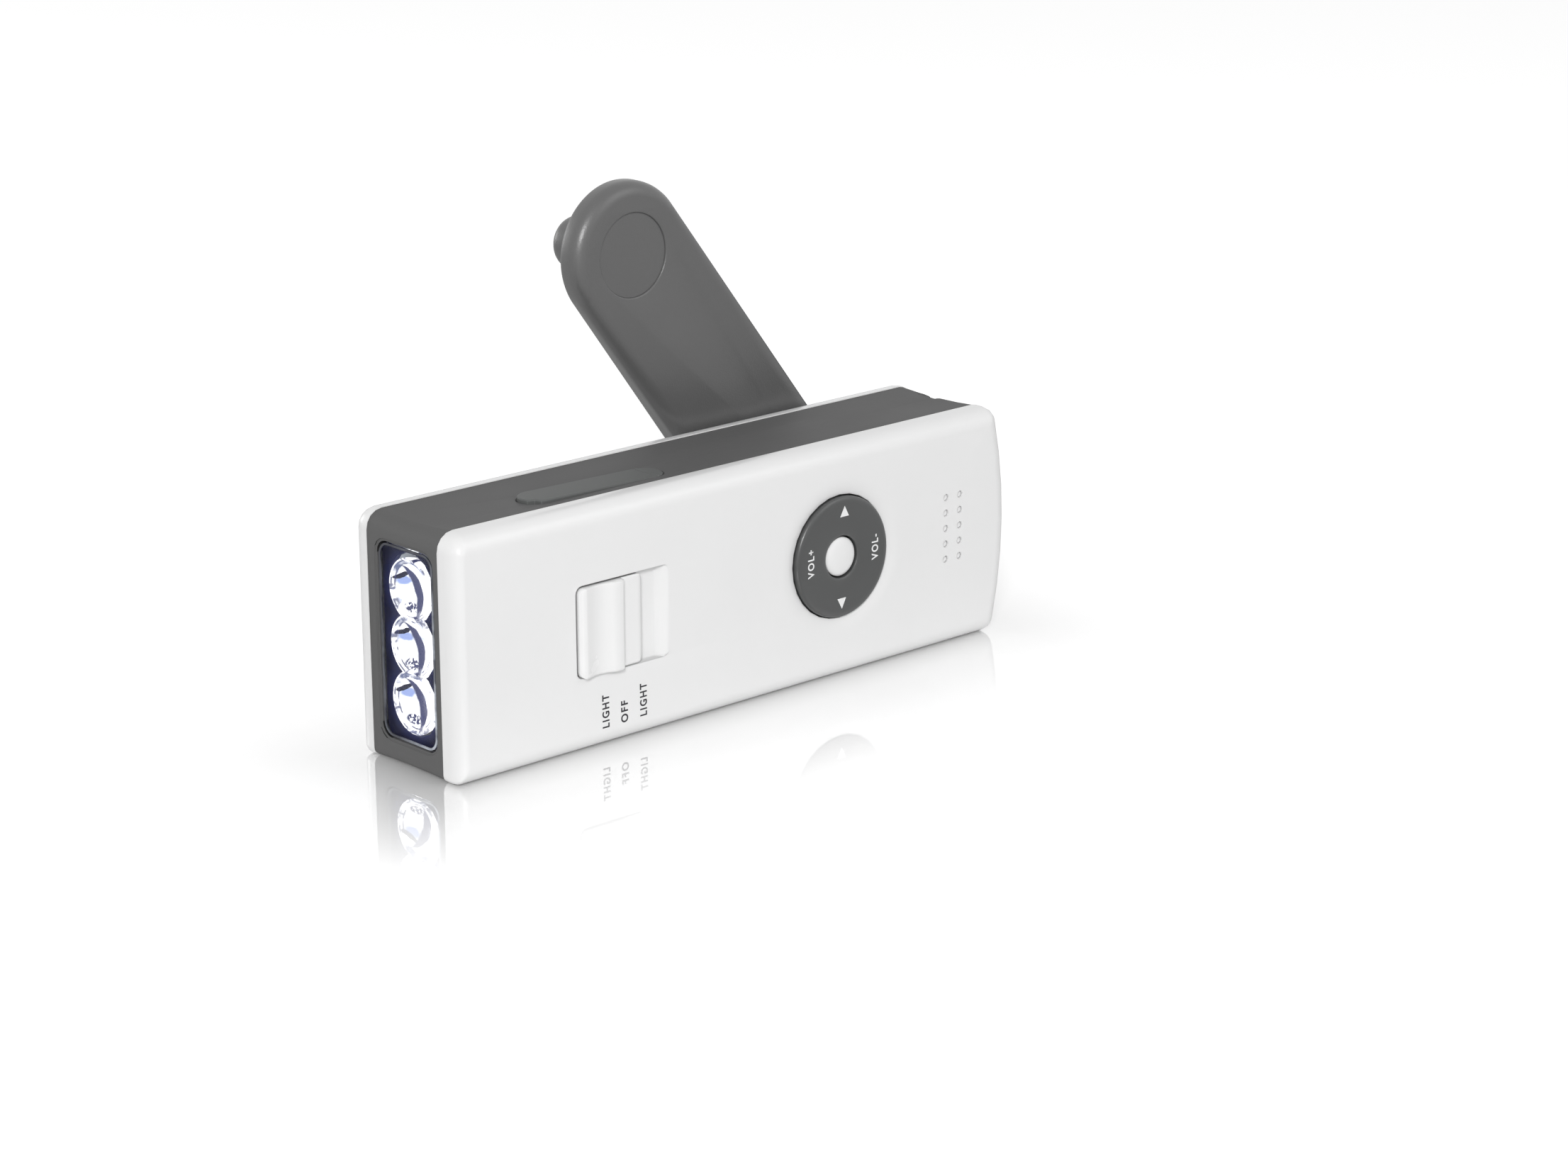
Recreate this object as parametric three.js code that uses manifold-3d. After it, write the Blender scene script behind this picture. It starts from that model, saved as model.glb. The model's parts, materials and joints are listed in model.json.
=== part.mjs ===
// Hand crank flashlight with a small radio, in millimetres.
// X runs from the light end to the rear end, Y from the front face to the crank side, and Z up from the
// long side that it stands on. The flip crank is drawn folded out, as it is held ready to wind.
import * as THREE from "three";
import { mergeVertices } from "three/addons/utils/BufferGeometryUtils.js";
import Module from "manifold-3d";

// Fits that every piece shares
const fit = 0.3; // clearance between pieces that sit in or on each other
const pinFit = 0.15; // radial clearance of pins and screws in their holes
const overrun = 1; // how far a cut runs past the surface it opens
const weld = 0.0001; // vertices nearer than this are one

// The folded crank sets the casing's length: knob well, arm and hub follow each other along it
const wellInset = 37.2; // light end to the knob's well
const crankLength = 71.6; // knob axis to hub axis
const hubInset = 23.4; // hub axis to rear end
const bodyLength = wellInset + crankLength + hubInset;

// Casing: two white covers round a waisted dark frame
const bodyWidth = 45;
const frontCoverDepth = 5;
const frameDepth = 19.9;
const rearCoverDepth = 3.3;
const lightCornerRadius = 3.5;
const footCornerRadius = 1.5; // the light end's lower corner, which it stands on
const rearCornerRadius = 2.5;
const endBow = 3; // how far the rear end bulges at mid width
const frameWaist = 0.4; // how far the frame's sides draw in at mid depth
const frameSetback = 0.15; // how far the covers stand out past the frame
const frameWall = 2;
const frameInnerCorner = 1.2; // inside corners at the light end, tighter than the outside ones
const frontWall = 1.8;
const rearWall = 2;
const frontEdgeRadius = 3.4;
const lightEdgeRadius = 2.2;
const rearEdgeRadius = 2.1;
const lipThickness = 1;
const lipReach = 1.2;
const lipStart = 14.5; // the covers' lips stop here, short of the light unit
const leastRadius = 0.4;

// Light window, lens, mask and reflector
const windowMargin = 4.5; // from the casing's long sides
const windowRim = 2.1; // from the covers
const windowCornerRadius = 2.5;
const windowOffset = -0.3; // from mid depth, towards the front
const windowChamfer = 0.5;
const lensSetback = 0.5;
const lensThickness = 1.2;
const maskOverlap = 1.2;
const maskThickness = 1;
const lampMargin = 1.6; // from the window's ends to the outer cups
const cupRadius = 5.6;
const cupWall = 0.35;
const cupDepth = 7.5;
const cupFocusDepth = 10; // where the paraboloid would close
const cupFloor = 0.8;
const cupWebWidth = 3; // of the strip that joins the cups at their rims
const ledRadius = 2.5;
const ledFlangeRadius = 2.9;
const ledFlange = 1;
const ledLength = 7;
const lampBoardThickness = 1.2;
const railDepth = 3.4;
const railEnd = 1.6;

// Main board, carried on posts of the front cover
const boardDrop = 5.7; // from the front cover's inside to the board
const boardThickness = 1.2;
const boardStart = 23.5;
const boardEndInset = 28.2; // from the rear end
const boardMargin = 2; // from the frame's inside
const boardPostRadius = 2.4;
const boardScrewNear = 52;
const boardScrewInset = 7;
const chipSize = 8;
const chipHeight = 1.1;
const chipX = 58;
const chipRise = 8;

// Screws: the radius of the shank, the head and what it fastens
const caseScrewRadius = 1.25;
const caseScrewLength = 14;
const caseHeadRadius = 2.5;
const caseHeadHeight = 1.5;
const caseHeadSink = 0.4;
const caseScrewLight = 18.5; // place of the two screws near the light
const caseScrewRear = 9.6; // from the rear end to the two screws there
const caseScrewInset = 5.4;
const casePostRadius = 3;
const rearPostLength = 8.2; // the rest of the way is the front cover's post
const smallScrewRadius = 0.9;
const smallScrewLength = 6;
const smallHeadRadius = 1.8;
const smallHeadHeight = 1.1;
const threadDepth = 1; // how much deeper a blind hole is than its screw

// Light switch on the front face
const lightPocketStart = 26.2;
const lightPocketLength = 19.2;
const lightPocketRamp = 2.4;
const lightPocketWidth = 17.1;
const lightPocketDepth = 1.7;
const lightPocketCorner = 1.4;
const lightPocketFloor = 1.2;
const lightPocketRim = 2; // thicker land round the pocket, on the inside
const lightSliderLength = 14.9;
const lightSliderRise = 1.6;
const lightTravel = 3.8;
const lightStemLength = 4;
const lightStemWidth = 6;
const hookReach = 0.9;
const hookHeight = 0.7;
const leverLength = 2;
const leverWidth = 2;
const leverReach = 1.6;
const lightBodyWidth = 9;
const switchBodyWall = 3;

// Radio switch on the side that it stands on
const modePocketMiddle = 36;
const modePocketLength = 20.6;
const modePocketWidth = 9.8;
const modePocketOffset = 0.35; // from mid depth, towards the rear
const modePocketDepth = 1.8;
const modePocketFloor = 1.3;
const modePocketRim = 1.2;
const modeSliderLength = 9.7;
const modeSliderWidth = 8;
const modeSliderProud = 0.3;
const modeRidge = 1.3;
const modeValley = 0.9;
const modeTravel = 2.5; // each way
const modeStemLength = 4;
const modeStemWidth = 3;
const modeBodyHeight = 4;
const snapSlotLength = 3.8;
const snapSlotWidth = 2.4;
const snapSlotDepth = 1.2;
const snapSlotSpacing = 21.6;

// Tuning pad: a rocking ring round a push button
const controlRise = 1.1; // of the tuning pad and the speaker, from mid width
const dialSpacing = 29.4; // from the speaker
const padRadius = 11.6;
const padFlange = 1;
const padFlangeThickness = 0.7;
const padFlangeDrop = 0.8; // from the cover's inside
const padCrown = 0.5;
const padNibRadius = 0.8;
const padNibLength = 1.6;
const padNibPlace = 8;
const buttonRadius = 3.75;
const buttonCrown = 0.35;
const buttonFlange = 0.65;
const buttonFlangeThickness = 0.6;
const buttonStemRadius = 1.5;
const buttonStemLength = 0.8;
const padRingWidth = 1.8;
const padRingHeight = 1.3;
const dishWidth = 3.3;
const dishDepth = 0.6;
const tactSize = 4.4;
const tactHeight = 1.3;
const plungerRadius = 1.1;
const plungerHeight = 0.7;

// Speaker behind two rows of holes
const speakerInset = 12.5; // from the rear end
const speakerRadius = 8.2;
const speakerDepth = 4.6;
const speakerMagnetRadius = 5;
const speakerClothThickness = 0.4;
const speakerRingWall = 1;
const speakerHoleRadius = 0.7;
const speakerHolePitch = 3.05;
const speakerRowSpacing = 3.7;
const speakerHolesPerRow = 5;

// Sockets and their rubber cover on the upper side
const flapStart = 23.4;
const flapLength = 32.4;
const flapWidth = 7.5;
const flapY = 11.4;
const flapThickness = 1.5;
const flapProud = 0.25;
const flapHingeInset = 3.6;
const flapPlugRadius = 1.4;
const flapPlugLength = 1.8;
const nailRadius = 2.2;
const nailDepth = 0.8;
const socketFloor = 1.3;
const socketRim = 1.15;
const socketNoseRadius = 2.9;
const socketBodyLength = 9;
const socketBodyHalf = 3.5;
const earphoneX = 32.2;
const earphoneBore = 1.8;
const chargeX = 43;
const chargeBore = 1.3;
const boreDepth = 7;

// Strap bar in the upper rear corner
const strapOffset = 1.3; // from mid depth, towards the rear
const strapGrooveWidth = 3.3;
const strapGrooveDepth = 3.3;
const strapGrooveHeight = 8;
const strapSoftEdge = 1.6; // rounding of the groove's rear side, where the strap lies
const strapBar = 1.4;
const strapBarHeight = 2;
const strapBarDrop = 3;
const strapBlockWall = 1.6;
const strapBlockDepth = 3.4;

// Crank
const crankAngle = THREE.MathUtils.degToRad(127); // from +X towards +Z, as in use
const armWidth = 27.1;
const armThickness = 5.2;
const armGap = 1.1; // from the rear cover
const armEdgeRadius = 1.8;
const armBackEdge = 0.6;
const armCornerRadius = 2.2;
const capMargin = 5.85; // from the arm's sides
const capSink = 0.35;
const capThickness = 1;
const hubDiscRadius = 12.4;
const hubDiscThickness = 1.5;
const hubJournalRadius = 5;
const hubBossWall = 2.6;
const hubBossReach = 1.9;
const hubShaftRadius = 3;
const hubShaftFlat = 0.7;
const lugWidth = 9;
const pinRadius = 1.25;
const pinInset = 1;
const clipThickness = 0.6;
const clipRadius = 4.8;
const clipGrooveDepth = 0.7;
const clipOpening = Math.PI / 3;

// Knob and its axle
const knobRadius = 5.1;
const knobLength = 12.8;
const knobNeckRadius = 3.7;
const knobTipRadius = 2.2;
const axleRadius = 1.6;
const axleHeadRadius = 3;
const axleHeadHeight = 1.2;
const axleLength = 7.4; // inside the knob
const axleBarb = 0.5;
const axleBarbLength = 0.9;
const wellClearance = 1.2;
const wellWall = 1.2;
const wellChamfer = 0.6;

// Gear train: crank gear, two compound idlers and the generator's pinion
const coarseModule = 0.6;
const fineModule = 0.5;
const crankTeeth = 48;
const idlerTeeth = 36;
const pinionTeeth = 12;
const gearWidth = 1.6;
const backlash = 0.12;
const pressureAngle = THREE.MathUtils.degToRad(20);
const dedendumShare = 1.2;
const firstMeshAngle = THREE.MathUtils.degToRad(160);
const secondMeshAngle = THREE.MathUtils.degToRad(250);
const thirdMeshAngle = THREE.MathUtils.degToRad(30);
const idlerAxleRadius = 1.2;
const axleCollarRadius = 2.2;
const axleBossRadius = 2.6;
const plateThickness = 1.2;
const plateMargin = 0.2; // round the posts
const plateReach = 7.5; // past the hub's axis
const plateCorner = 2.2;
const platePostRadius = 2.2;

// Generator under the gear plate
const generatorRadius = 11;
const generatorWall = 0.8;
const coilRadius = 9.6;
const coilBore = 6.6;
const magnetRadius = 6;
const rotorShaftRadius = 1;

// Battery: three button cells on their rims, of the size that the depth takes
const cellHeight = 6;
const cellLift = 0.5; // from the rear cover's inside
const cellDrop = 1.5; // from the main board
const saddleWall = 1.3;
const saddleThickness = 1.2;

// Steps of the curved outlines
const cornerSteps = 4;
const bowSteps = 6;
const edgeSteps = 4;
const waistSteps = 4;
const bowlSteps = 3;
const fine = 28;
const medium = 14;
const coarse = 8;

// Places that follow from the sizes above
const midZ = bodyWidth / 2;
const controlZ = midZ + controlRise;
const frameFront = frontCoverDepth;
const frameRear = frontCoverDepth + frameDepth;
const frameMid = (frameFront + frameRear) / 2;
const rearFace = frameRear + rearCoverDepth;
const frontInside = frontWall;
const rearInside = rearFace - rearWall;
const lipInset = frameWall + fit;
const windowY = frameMid + windowOffset;
const windowWidth = bodyWidth - 2 * windowMargin;
const windowHeight = frameDepth - 2 * windowRim;
const lampPitch = windowWidth / 2 - lampMargin - cupRadius - cupWall;
const boardFront = frontInside + boardDrop;
const boardRear = boardFront + boardThickness;
const boardEnd = bodyLength - boardEndInset;
const boardLow = frameWall + boardMargin;
const boardHigh = bodyWidth - frameWall - boardMargin;
const restStrip = (frontEdgeRadius + frontCoverDepth) / 2; // middle of the flat strip it stands on

const casePostSplit = rearInside - rearPostLength;
const cellRadius = (rearInside - cellLift - boardRear - cellDrop) / 2;
const modePocketY = frameMid + modePocketOffset;
const strapY = frameMid + strapOffset;
const hubX = bodyLength - hubInset;
const speakerX = bodyLength - speakerInset;
const dialX = speakerX - dialSpacing;

// Crank levels along Y
const armFace = rearFace + armGap;
const armBack = armFace + armThickness;
const pinY = armFace + armThickness / 2;
const earRadius = armThickness / 2;
const discTop = armFace - fit;
const discLow = discTop - hubDiscThickness;
const wellX = wellInset;
const capRadius = armWidth / 2 - capMargin;
const knobBase = armBack + fit;
const stowedKnobTip = armFace - fit - knobLength;
const wellRadius = knobRadius + wellClearance;
const wellFloor = stowedKnobTip - wellClearance;

// Gear levels along Y, from the rear cover inwards
const bossEnd = rearInside - hubBossReach;
const firstLevelTop = bossEnd - fit;
const levelPitch = gearWidth + fit;
const secondLevelTop = firstLevelTop - levelPitch;
const thirdLevelTop = secondLevelTop - levelPitch;
const plateTop = thirdLevelTop - levelPitch;
const plateLow = plateTop - plateThickness;
const generatorTop = plateLow - fit;
const generatorLow = boardRear + fit * 2;

// Gear centres in the X-Z plane
const firstCentreDistance = (coarseModule * (crankTeeth + pinionTeeth)) / 2;
const fineCentreDistance = (fineModule * (idlerTeeth + pinionTeeth)) / 2;
const crankCentre = new THREE.Vector2(hubX, midZ);
const idlerOneCentre = stepped(crankCentre, firstMeshAngle, firstCentreDistance);
const idlerTwoCentre = stepped(idlerOneCentre, secondMeshAngle, fineCentreDistance);
const rotorCentre = stepped(idlerTwoCentre, thirdMeshAngle, fineCentreDistance);

// Places of the screws, as points in the X-Z plane
const caseScrews = [
  new THREE.Vector2(caseScrewLight, caseScrewInset),
  new THREE.Vector2(caseScrewLight, bodyWidth - caseScrewInset),
  new THREE.Vector2(bodyLength - caseScrewRear, caseScrewInset),
  new THREE.Vector2(bodyLength - caseScrewRear, bodyWidth - caseScrewInset),
];
const crankPostClear = (coarseModule * (crankTeeth + 2)) / 2 + platePostRadius + fit;
const idlerPostClear = (fineModule * (idlerTeeth + 2)) / 2 + platePostRadius + fit;
const plateScrews = [
  stepped(crankCentre, THREE.MathUtils.degToRad(232), crankPostClear),
  stepped(idlerOneCentre, THREE.MathUtils.degToRad(147), idlerPostClear),
  stepped(idlerTwoCentre, THREE.MathUtils.degToRad(228), idlerPostClear),
];
const plateStart = plateScrews[2].x - platePostRadius - plateMargin;
const plateEnd = hubX + plateReach;
const plateHalfWidth = midZ - plateScrews[2].y + platePostRadius + plateMargin;
const cellX = plateStart - fit - saddleWall - cellRadius;
const dialCentre = new THREE.Vector2(dialX, controlZ);
const boardPostClear = padRadius + padFlange + fit + boardPostRadius;
const boardScrews = [
  new THREE.Vector2(boardScrewNear, boardScrewInset),
  stepped(dialCentre, THREE.MathUtils.degToRad(135), boardPostClear),
];
const boardPegs = [
  new THREE.Vector2(boardScrewNear, bodyWidth - boardScrewInset),
  stepped(dialCentre, THREE.MathUtils.degToRad(-45), boardPostClear),
];

const wasm = await Module();
wasm.setup();

// The point a given way from another
function stepped(from, angle, distance) {
  return new THREE.Vector2(from.x + distance * Math.cos(angle), from.y + distance * Math.sin(angle));
}

// A closed geometry as a solid that can be joined and cut
function solidOf(geometry) {
  const bare = geometry.index ? geometry.toNonIndexed() : geometry.clone();
  bare.deleteAttribute("normal");
  bare.deleteAttribute("uv");
  const merged = mergeVertices(bare, weld);
  const vertProperties = merged.attributes.position.array;
  const triVerts = new Uint32Array(merged.index.array);
  return new wasm.Manifold(new wasm.Mesh({ numProp: 3, vertProperties, triVerts }));
}

// A solid back as a geometry
function geometryOf(solid) {
  const mesh = solid.getMesh();
  const geometry = new THREE.BufferGeometry();
  geometry.setAttribute("position", new THREE.BufferAttribute(new Float32Array(mesh.vertProperties), 3));
  geometry.setIndex(new THREE.BufferAttribute(new Uint32Array(mesh.triVerts), 1));
  geometry.computeVertexNormals();
  return geometry;
}

function joined(first, ...others) {
  return others.reduce((all, next) => all.add(next), first);
}

function cut(from, ...tools) {
  return tools.reduce((left, tool) => left.subtract(tool), from);
}

// The frame of a profile's own X, Y and depth for an extrusion along each axis
const profileFrames = {
  x: new THREE.Matrix4().makeBasis(
    new THREE.Vector3(0, 1, 0),
    new THREE.Vector3(0, 0, 1),
    new THREE.Vector3(1, 0, 0),
  ),
  y: new THREE.Matrix4().makeBasis(
    new THREE.Vector3(1, 0, 0),
    new THREE.Vector3(0, 0, 1),
    new THREE.Vector3(0, -1, 0),
  ),
  z: new THREE.Matrix4(),
};

// An outline pushed along an axis: along x it is drawn in (y, z), along y in (x, z), along z in (x, y)
function prism(outline, axis, from, to) {
  const geometry = new THREE.ExtrudeGeometry(new THREE.Shape(outline), {
    depth: to - from,
    bevelEnabled: false,
  });
  geometry.applyMatrix4(profileFrames[axis]);
  const start = { x: [from, 0, 0], y: [0, to, 0], z: [0, 0, from] }[axis];
  geometry.translate(...start);
  return solidOf(geometry);
}

// Outlines of equal point count stacked along Y, with flat ends
function loft(rings) {
  const count = rings[0].outline.length;
  const positions = rings.flatMap(({ at, outline }) => outline.flatMap((p) => [p.x, at, p.y]));
  const faces = [];
  for (let r = 0; r < rings.length - 1; r += 1) {
    for (let i = 0; i < count; i += 1) {
      const next = (i + 1) % count;
      const low = r * count;
      const high = low + count;
      faces.push(low + i, high + next, low + next);
      faces.push(low + i, high + i, high + next);
    }
  }
  const last = (rings.length - 1) * count;
  const ends = [rings[0].outline, rings[rings.length - 1].outline];
  THREE.ShapeUtils.triangulateShape(ends[0], []).forEach(([a, b, c]) => faces.push(a, b, c));
  THREE.ShapeUtils.triangulateShape(ends[1], []).forEach(([a, b, c]) => {
    faces.push(last + a, last + c, last + b);
  });
  const geometry = new THREE.BufferGeometry();
  geometry.setAttribute("position", new THREE.Float32BufferAttribute(positions, 3));
  geometry.setIndex(faces);
  return solidOf(geometry);
}

// A profile of (radius, height) points turned about an axis parallel to Y
function turned(profile, centre, steps) {
  const points = profile.map(([radius, height]) => new THREE.Vector2(radius, height));
  return solidOf(new THREE.LatheGeometry(points, steps).translate(centre.x, 0, centre.y));
}

function closedProfile(points) {
  return [...points, points[0]];
}

function post(centre, radius, from, to, steps = coarse) {
  return turned([[0, from], [radius, from], [radius, to], [0, to]], centre, steps);
}

function tube(centre, bore, radius, from, to, steps = coarse) {
  return turned(closedProfile([[bore, from], [radius, from], [radius, to], [bore, to]]), centre, steps);
}

function box(x, y, z) {
  const geometry = new THREE.BoxGeometry(x[1] - x[0], y[1] - y[0], z[1] - z[0]);
  geometry.translate((x[0] + x[1]) / 2, (y[0] + y[1]) / 2, (z[0] + z[1]) / 2);
  return solidOf(geometry);
}

function around(middle, length) {
  return [middle - length / 2, middle + length / 2];
}

// A round bar along Z or X
function rodAlongZ(x, y, radius, from, to, steps) {
  const geometry = new THREE.CylinderGeometry(radius, radius, to - from, steps);
  geometry.rotateX(Math.PI / 2);
  geometry.translate(x, y, (from + to) / 2);
  return solidOf(geometry);
}

// Points of an arc, ends included
function arc(x, y, radius, from, to, steps) {
  return Array.from({ length: steps + 1 }, (_, i) => {
    const angle = THREE.MathUtils.lerp(from, to, i / steps);
    return new THREE.Vector2(x + radius * Math.cos(angle), y + radius * Math.sin(angle));
  });
}

function circle(centre, radius, steps) {
  return arc(centre.x, centre.y, radius, 0, Math.PI * 2, steps).slice(0, -1);
}

function roundedRectangle(x, y, radius, steps = cornerSteps) {
  const quarter = Math.PI / 2;
  return [
    ...arc(x[0] + radius, y[0] + radius, radius, 2 * quarter, 3 * quarter, steps),
    ...arc(x[1] - radius, y[0] + radius, radius, 3 * quarter, 4 * quarter, steps),
    ...arc(x[1] - radius, y[1] - radius, radius, 0, quarter, steps),
    ...arc(x[0] + radius, y[1] - radius, radius, quarter, 2 * quarter, steps),
  ];
}

// The casing's outline in the X-Z plane, drawn in by an inset: a rounded rectangle whose rear end is bowed
function casingOutline(inset, lightInset = inset, lightRadius = lightCornerRadius - inset) {
  const quarter = Math.PI / 2;
  const high = bodyWidth - inset;
  const far = bodyLength - inset;
  const light = Math.max(lightRadius, leastRadius);
  const foot = Math.max(Math.min(lightRadius, footCornerRadius - inset), leastRadius);
  const rear = Math.max(rearCornerRadius - inset, leastRadius);
  const straight = Array.from({ length: bowSteps - 1 }, (_, i) => {
    const z = THREE.MathUtils.lerp(inset + rear, high - rear, (i + 1) / bowSteps);
    return new THREE.Vector2(far, z);
  });
  const rearEnd = [
    ...arc(far - rear, inset + rear, rear, 3 * quarter, 4 * quarter, cornerSteps),
    ...straight,
    ...arc(far - rear, high - rear, rear, 0, quarter, cornerSteps),
  ];
  rearEnd.forEach((point) => {
    point.x += endBow * (1 - ((point.y - midZ) / midZ) ** 2);
  });
  return [
    ...arc(lightInset + foot, inset + foot, foot, 2 * quarter, 3 * quarter, cornerSteps),
    ...rearEnd,
    ...arc(lightInset + light, high - light, light, quarter, 2 * quarter, cornerSteps),
  ];
}

// How far the frame's sides draw in at a depth
function waistAt(y) {
  const share = (y - frameMid) / (frameDepth / 2);
  return frameSetback + frameWaist * (1 - share * share);
}

// Locating lip of a cover, which stands inside the frame's wall along the sides and the rear end
function coverLip(from, to) {
  const ring = prism(casingOutline(lipInset), "y", from, to);
  return cut(ring, prism(casingOutline(lipInset + lipThickness), "y", from - overrun, to + overrun));
}

function lipKept(y) {
  return box([lipStart, bodyLength + endBow + overrun], y, [-overrun, bodyWidth + overrun]);
}

function frontCover() {
  const rounded = Array.from({ length: edgeSteps + 1 }, (_, i) => {
    const angle = ((i / edgeSteps) * Math.PI) / 2;
    const drawn = 1 - Math.sin(angle);
    return {
      at: frontEdgeRadius * (1 - Math.cos(angle)),
      outline: casingOutline(frontEdgeRadius * drawn, lightEdgeRadius * drawn),
    };
  });
  const shell = loft([...rounded, { at: frontCoverDepth, outline: casingOutline(0) }]);
  const cavityInset = lipInset + lipThickness;
  const cavity = prism(casingOutline(cavityInset), "y", frontInside, frontCoverDepth + overrun);
  const lipEnd = frontCoverDepth + lipReach;
  const lip = coverLip(frontInside, lipEnd).intersect(lipKept([frontInside, lipEnd]));
  const casePosts = caseScrews.map((place) => post(place, casePostRadius, frontInside - weld, casePostSplit));
  const boardPosts = [...boardScrews, ...boardPegs].map((place) => {
    return post(place, boardPostRadius, frontInside - weld, boardFront);
  });
  const pegs = boardPegs.map((place) => post(place, smallScrewRadius, boardFront - overrun, boardRear));
  const ringRadius = speakerRadius + fit;
  const speakerPlace = new THREE.Vector2(speakerX, controlZ);
  const speakerRing = tube(
    speakerPlace,
    ringRadius,
    ringRadius + speakerRingWall,
    frontInside - weld,
    frontInside + speakerClothThickness + speakerDepth / 2,
    medium,
  );
  const body = joined(cut(shell, cavity), lip, lightPocketLand(), speakerRing, ...casePosts, ...boardPosts, ...pegs);
  const pilotHoles = caseScrews.map((place) => {
    const tip = rearFace - caseHeadSink - caseHeadHeight - caseScrewLength;
    return post(place, caseScrewRadius + pinFit, tip - threadDepth, casePostSplit + overrun);
  });
  const boardHoles = boardScrews.map((place) => {
    return post(place, smallScrewRadius + pinFit, boardRear - smallScrewLength - fit, boardFront + overrun);
  });
  return cut(body, lightPocket(), padOpening(), ...speakerHoles(), ...pilotHoles, ...boardHoles);
}

// Thicker land behind the light switch's pocket
function lightPocketLand() {
  const end = lightPocketStart + lightPocketLength + lightPocketRamp;
  return box(
    [lightPocketStart - lightPocketRim, end + lightPocketRim],
    [frontInside - weld, lightPocketDepth + lightPocketFloor],
    around(midZ, lightPocketWidth + 2 * lightPocketRim),
  );
}

// The pocket has square walls at the light end and one long soft ramp at the other
function lightPocket() {
  const flatEnd = lightPocketStart + lightPocketLength;
  const ramp = Array.from({ length: edgeSteps + 2 }, (_, i) => {
    const share = i / (edgeSteps + 1);
    const fall = (1 + Math.cos(Math.PI * share)) / 2;
    return new THREE.Vector2(flatEnd + lightPocketRamp * share, lightPocketDepth * fall);
  });
  const end = flatEnd + lightPocketRamp;
  const profile = [
    new THREE.Vector2(lightPocketStart, -overrun),
    new THREE.Vector2(end, -overrun),
    ...ramp.reverse(),
    new THREE.Vector2(lightPocketStart, lightPocketDepth),
  ];
  const width = around(midZ, lightPocketWidth);
  const plan = roundedRectangle([lightPocketStart, end], width, lightPocketCorner);
  const pocket = prism(profile, "z", ...width).intersect(prism(plan, "y", -overrun, lightPocketDepth + overrun));
  const stem = lightStemMiddle();
  const slot = box(
    [stem - lightStemLength / 2 - fit, stem + lightStemLength / 2 + lightTravel + fit],
    [lightPocketDepth - overrun, lightPocketDepth + lightPocketFloor + overrun],
    around(midZ, lightStemWidth + 2 * fit),
  );
  return pocket.add(slot);
}

function lightStemMiddle() {
  return lightPocketStart + fit + lightSliderLength / 2;
}

// The round opening for the pad, with a soft dish worn into the face round it
function padOpening() {
  const open = padRadius + fit;
  const outer = open + dishWidth;
  const slope = Array.from({ length: edgeSteps }, (_, i) => {
    const share = (i + 1) / edgeSteps;
    return [outer - dishWidth * share, dishDepth * share * share];
  });
  const profile = [[0, -overrun], [outer, -overrun], [outer, 0], ...slope, [open, frontInside + overrun]];
  return turned([...profile, [0, frontInside + overrun]], new THREE.Vector2(dialX, controlZ), fine);
}

function speakerHoles() {
  const rows = around(speakerX, speakerRowSpacing);
  return rows.flatMap((x) =>
    Array.from({ length: speakerHolesPerRow }, (_, i) => {
      const z = controlZ + (i - (speakerHolesPerRow - 1) / 2) * speakerHolePitch;
      return post(new THREE.Vector2(x, z), speakerHoleRadius, -overrun, frontInside + overrun, coarse);
    }),
  );
}

function midFrame() {
  const rings = Array.from({ length: waistSteps + 1 }, (_, i) => {
    const at = THREE.MathUtils.lerp(frameFront, frameRear, i / waistSteps);
    return { at, outline: casingOutline(waistAt(at), frameSetback) };
  });
  const inside = casingOutline(frameWall, frameWall, frameInnerCorner);
  const hollow = prism(inside, "y", frameFront - overrun, frameRear + overrun);
  const body = joined(
    cut(loft(rings), hollow),
    ...lampRails(),
    modePocketLand(),
    socketLand(),
    strapLand(),
  );
  return cut(body, ...windowOpening(), modePocket(), ...snapSlots(), socketPocket(), strapGroove());
}

function windowOutline(margin) {
  const y = around(windowY, windowHeight + 2 * margin);
  const z = around(midZ, windowWidth + 2 * margin);
  return roundedRectangle(y, z, windowCornerRadius + margin);
}

// The opening in the light end, with a chamfered mouth made of two steps
function windowOpening() {
  const mouth = prism(windowOutline(windowChamfer), "x", -overrun, frameSetback + windowChamfer / 2);
  return [prism(windowOutline(0), "x", -overrun, frameWall + overrun), mouth];
}

// Blocks inside the frame that trap the mask and the lamp board at both ends
function lampRails() {
  const boardSeat = lampBoardFront();
  const from = frameWall + maskThickness + fit;
  const to = boardSeat + lampBoardThickness + fit + railEnd;
  const groove = [boardSeat - fit, boardSeat + lampBoardThickness + fit];
  const y = around(windowY, windowHeight);
  return [1, -1].map((side) => {
    const wall = side > 0 ? frameWall : bodyWidth - frameWall;
    const z = [wall - side * weld, wall + side * railDepth].sort((a, b) => a - b);
    const seat = [wall + side * maskSeat(), wall + side * (railDepth + overrun)].sort((a, b) => a - b);
    return cut(box([from, to], y, z), box(groove, [y[0] - overrun, y[1] + overrun], seat));
  });
}

function maskSeat() {
  return maskMargin() - fit;
}

// From the frame's inside to the mask's and the lamp board's long ends
function maskMargin() {
  return (bodyWidth - windowWidth) / 2 - maskOverlap - frameWall;
}

function lampBoardFront() {
  return frameWall + cupDepth + fit + ledFlange;
}

function modeSurface() {
  return waistAt(modePocketY);
}

function modePocketLand() {
  return box(
    around(modePocketMiddle, modePocketLength + 2 * modePocketRim),
    around(modePocketY, modePocketWidth + 2 * modePocketRim),
    [frameWall - weld, modeSurface() + modePocketDepth + modePocketFloor],
  );
}

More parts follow.
